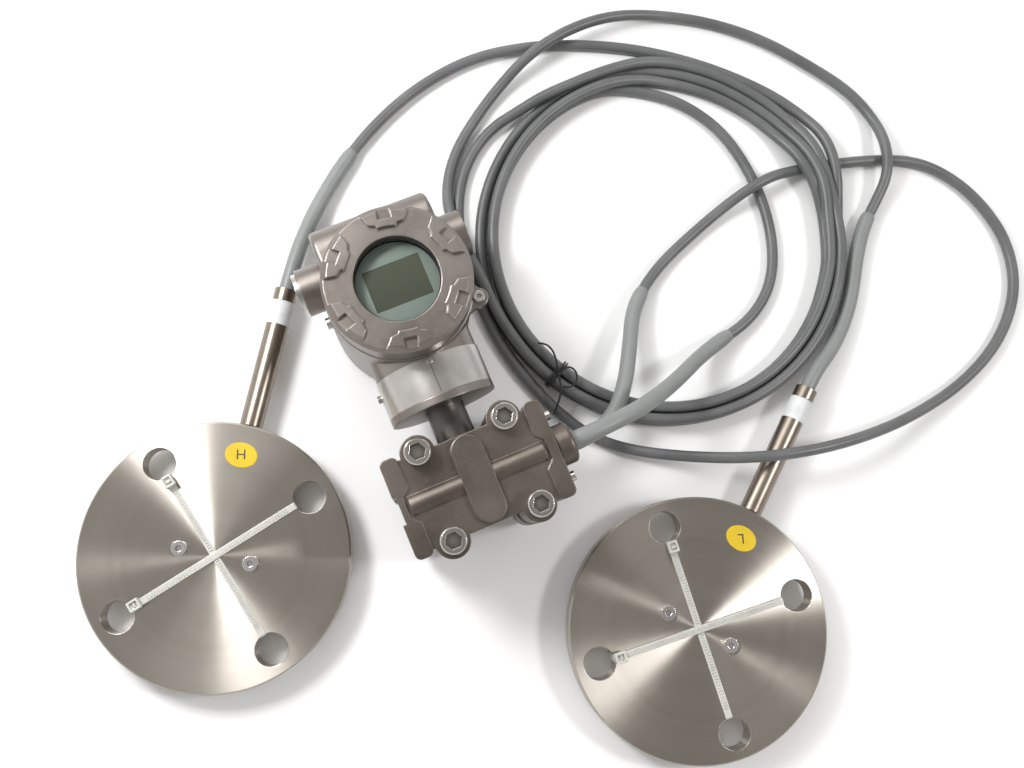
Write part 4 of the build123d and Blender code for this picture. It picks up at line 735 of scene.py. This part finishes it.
finishes = {
    "steel_casting": casting("cast_steel", (0.207, 0.183, 0.166), (0.295, 0.266, 0.243), 0.36),
    "cell_casting": casting("cell_cast_steel", (0.137, 0.117, 0.1), (0.206, 0.18, 0.157), 0.42),
    "fastener_steel": bright_steel("fastener_steel", (0.66, 0.64, 0.61), 0.24),
    "bolt_steel": bright_steel("bolt_steel", (0.6, 0.57, 0.535), 0.22),
    "small_screw_steel": bright_steel("small_screw_steel", (0.86, 0.85, 0.83), 0.2),
    "plate_steel": bright_steel("plate_steel", (0.56, 0.54, 0.515), 0.3, 0.000002, 0.0001),
    "tube_steel": bright_steel("tube_steel", (0.3, 0.255, 0.21), 0.32, 0.000014),
    "neck_steel": bright_steel("neck_steel", (0.15, 0.142, 0.134), 0.36, 0.000012),
    "diaphragm_steel": bright_steel("diaphragm_steel", (0.7, 0.69, 0.67), 0.16, 0.000002),
    "brass": bright_steel("brass", (0.68, 0.5, 0.24), 0.28),
    "seal_rubber": plastic("seal_rubber", (0.012, 0.012, 0.013), (0.026, 0.026, 0.028), 0.55),
    "window": window_clear("window_glass"),
    "display_face": faceplate("display_face"),
    "display_panel": panel("display_panel"),
    "circuit_board": board("circuit_board"),
    "terminal_plastic": plastic("terminal_plastic", (0.03, 0.03, 0.032), (0.05, 0.05, 0.053), 0.4),
    "cap_plastic": plastic("cap_plastic", (0.62, 0.63, 0.62), (0.74, 0.75, 0.74), 0.36, 40),
    "tie_nylon": plastic("tie_nylon", (0.5, 0.495, 0.46), (0.6, 0.595, 0.56), 0.34, 60,
                         0.000004, 0.0, subsurface_weight=0.15, subsurface_scale=0.002),
    "marker_yellow": plastic("marker_yellow", (0.56, 0.385, 0.003), (0.63, 0.44, 0.005), 0.36, 70),
    "label_paper": plastic("label_paper", (0.56, 0.58, 0.58), (0.7, 0.71, 0.71), 0.5, 110),
    "capillary_sheath": sheath("capillary_sheath", (0.092, 0.094, 0.095), (0.13, 0.132, 0.133),
                               0.0021, 0.00004, 0.36),
    "sleeve_sheath": sheath("sleeve_sheath", (0.185, 0.194, 0.19), (0.225, 0.236, 0.231),
                            0.0021, 0.000008, 0.42),
    "tie_wire": plastic("tie_wire", (0.008, 0.008, 0.009), (0.02, 0.02, 0.022), 0.4),
    "ink": plastic("marker_ink", (0.01, 0.01, 0.01), (0.03, 0.028, 0.025), 0.5),
}

# Nodes whose finish differs from the one that their slot names
OWN_FINISH = {"front_flange": "cell_casting", "rear_flange": "cell_casting",
              "front_adapter": "cell_casting", "rear_adapter": "cell_casting",
              "sensor_capsule": "neck_steel", "fill_screws": "small_screw_steel",
              "cover_lock_screw": "small_screw_steel", "flange_bolts": "bolt_steel",
              "flange_nuts": "bolt_steel"}


def dress(piece, finish):
    """Gives a piece that finish alone."""
    piece.data.materials.clear()
    piece.data.materials.append(finish)


for name, node in nodes.items():
    slot = node.data.materials[0].name.split(".")[0]
    if slot == "turned_steel":
        side = name.split("_")[0]
        dress(node, turned(side + "_turned_steel", SEAL_CENTRES[side]))
    else:
        dress(node, finishes[OWN_FINISH.get(name, slot)])
for pieces, slot in (((high_cord, low_cord), "capillary_sheath"), ((coil_wire,), "tie_wire"),
                     (cable_ties, "tie_nylon"), (high_covers + low_covers, "sleeve_sheath")):
    for piece in pieces:
        dress(piece, finishes[slot])

# Letters on the two markers
MARKERS = {"high": ("H", -22.9), "low": ("L", 160.0)}
LETTER_SIZE = 0.0098
INK = 0.00003
for side, (letter, turn) in MARKERS.items():
    low_corner, high_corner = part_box(side + "_sticker")
    middle = (low_corner + high_corner) / 2
    words = bpy.data.curves.new(side + "_letter", "FONT")
    words.body = letter
    words.size = LETTER_SIZE
    words.align_x = "CENTER"
    words.align_y = "CENTER"
    words.extrude = INK
    mesh = read_mesh(linked(side + "_letter", words))
    mesh.transform(Matrix.Rotation(radians(turn), 4, "Z"))
    mesh.transform(Matrix.Translation((middle.x, middle.y, high_corner.z + INK)))
    mark = linked(side + "_letter", mesh)
    dress(mark, finishes["ink"])
    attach(mark, CELL)

# Floor and light
floor_mesh = bpy.data.meshes.new("floor")
shape = bmesh.new()
bmesh.ops.create_grid(shape, x_segments=1, y_segments=1, size=4)
shape.to_mesh(floor_mesh)
shape.free()
floor = linked("floor", floor_mesh)
floor.location.z = -0.0002  # just under the part
floor_finish = Finish("pale_floor", roughness=0.7)
tone = floor_finish.noise(3, 2)
floor_mesh.materials.append(floor_finish.show(
    base_color=floor_finish.mix(tone, (0.86, 0.86, 0.86), (0.9, 0.9, 0.9))))


def lamp(name, place, target, size, power):
    """A soft rectangular lamp that faces the target."""
    light = bpy.data.lights.new(name, "AREA")
    light.shape = "RECTANGLE"
    light.size, light.size_y = size
    light.energy = power
    made = linked(name, light)
    made.matrix_world = facing(Vector(place), Vector(target), Vector((0, 1, 0.01)))
    made.visible_camera = False


MIDDLE = (0.06, -0.08, 0.0)
lamp("key_light", (-0.313, 0.348, 0.64), (-0.12, -0.1, 0.0), (0.2, 0.24), 5)
lamp("side_light", (1.0, -0.477, 1.19), MIDDLE, (0.22, 0.28), 7.5)
lamp("top_light", (0.04, 1.14, 1.3), MIDDLE, (1.4, 1.0), 9)

# A bright room that darkens towards one side overhead
world = bpy.data.worlds.new("studio")
stage.world = world
world.use_nodes = True
sky = Graph(world.node_tree)
direction = sky.node("ShaderNodeTexCoord", output="Generated")
overhead = sky.node("ShaderNodeVectorMath", {"operation": "DOT_PRODUCT"},
                    [direction, (0.218, -0.255, 0.942)], output="Value").within(0.3, 1.0)
sky.put(sky.tree.nodes["Background"].inputs["Color"],
        sky.mix(overhead, (0.95, 0.95, 0.95), (0.27, 0.255, 0.24)))
stage.view_settings.view_transform = "Standard"
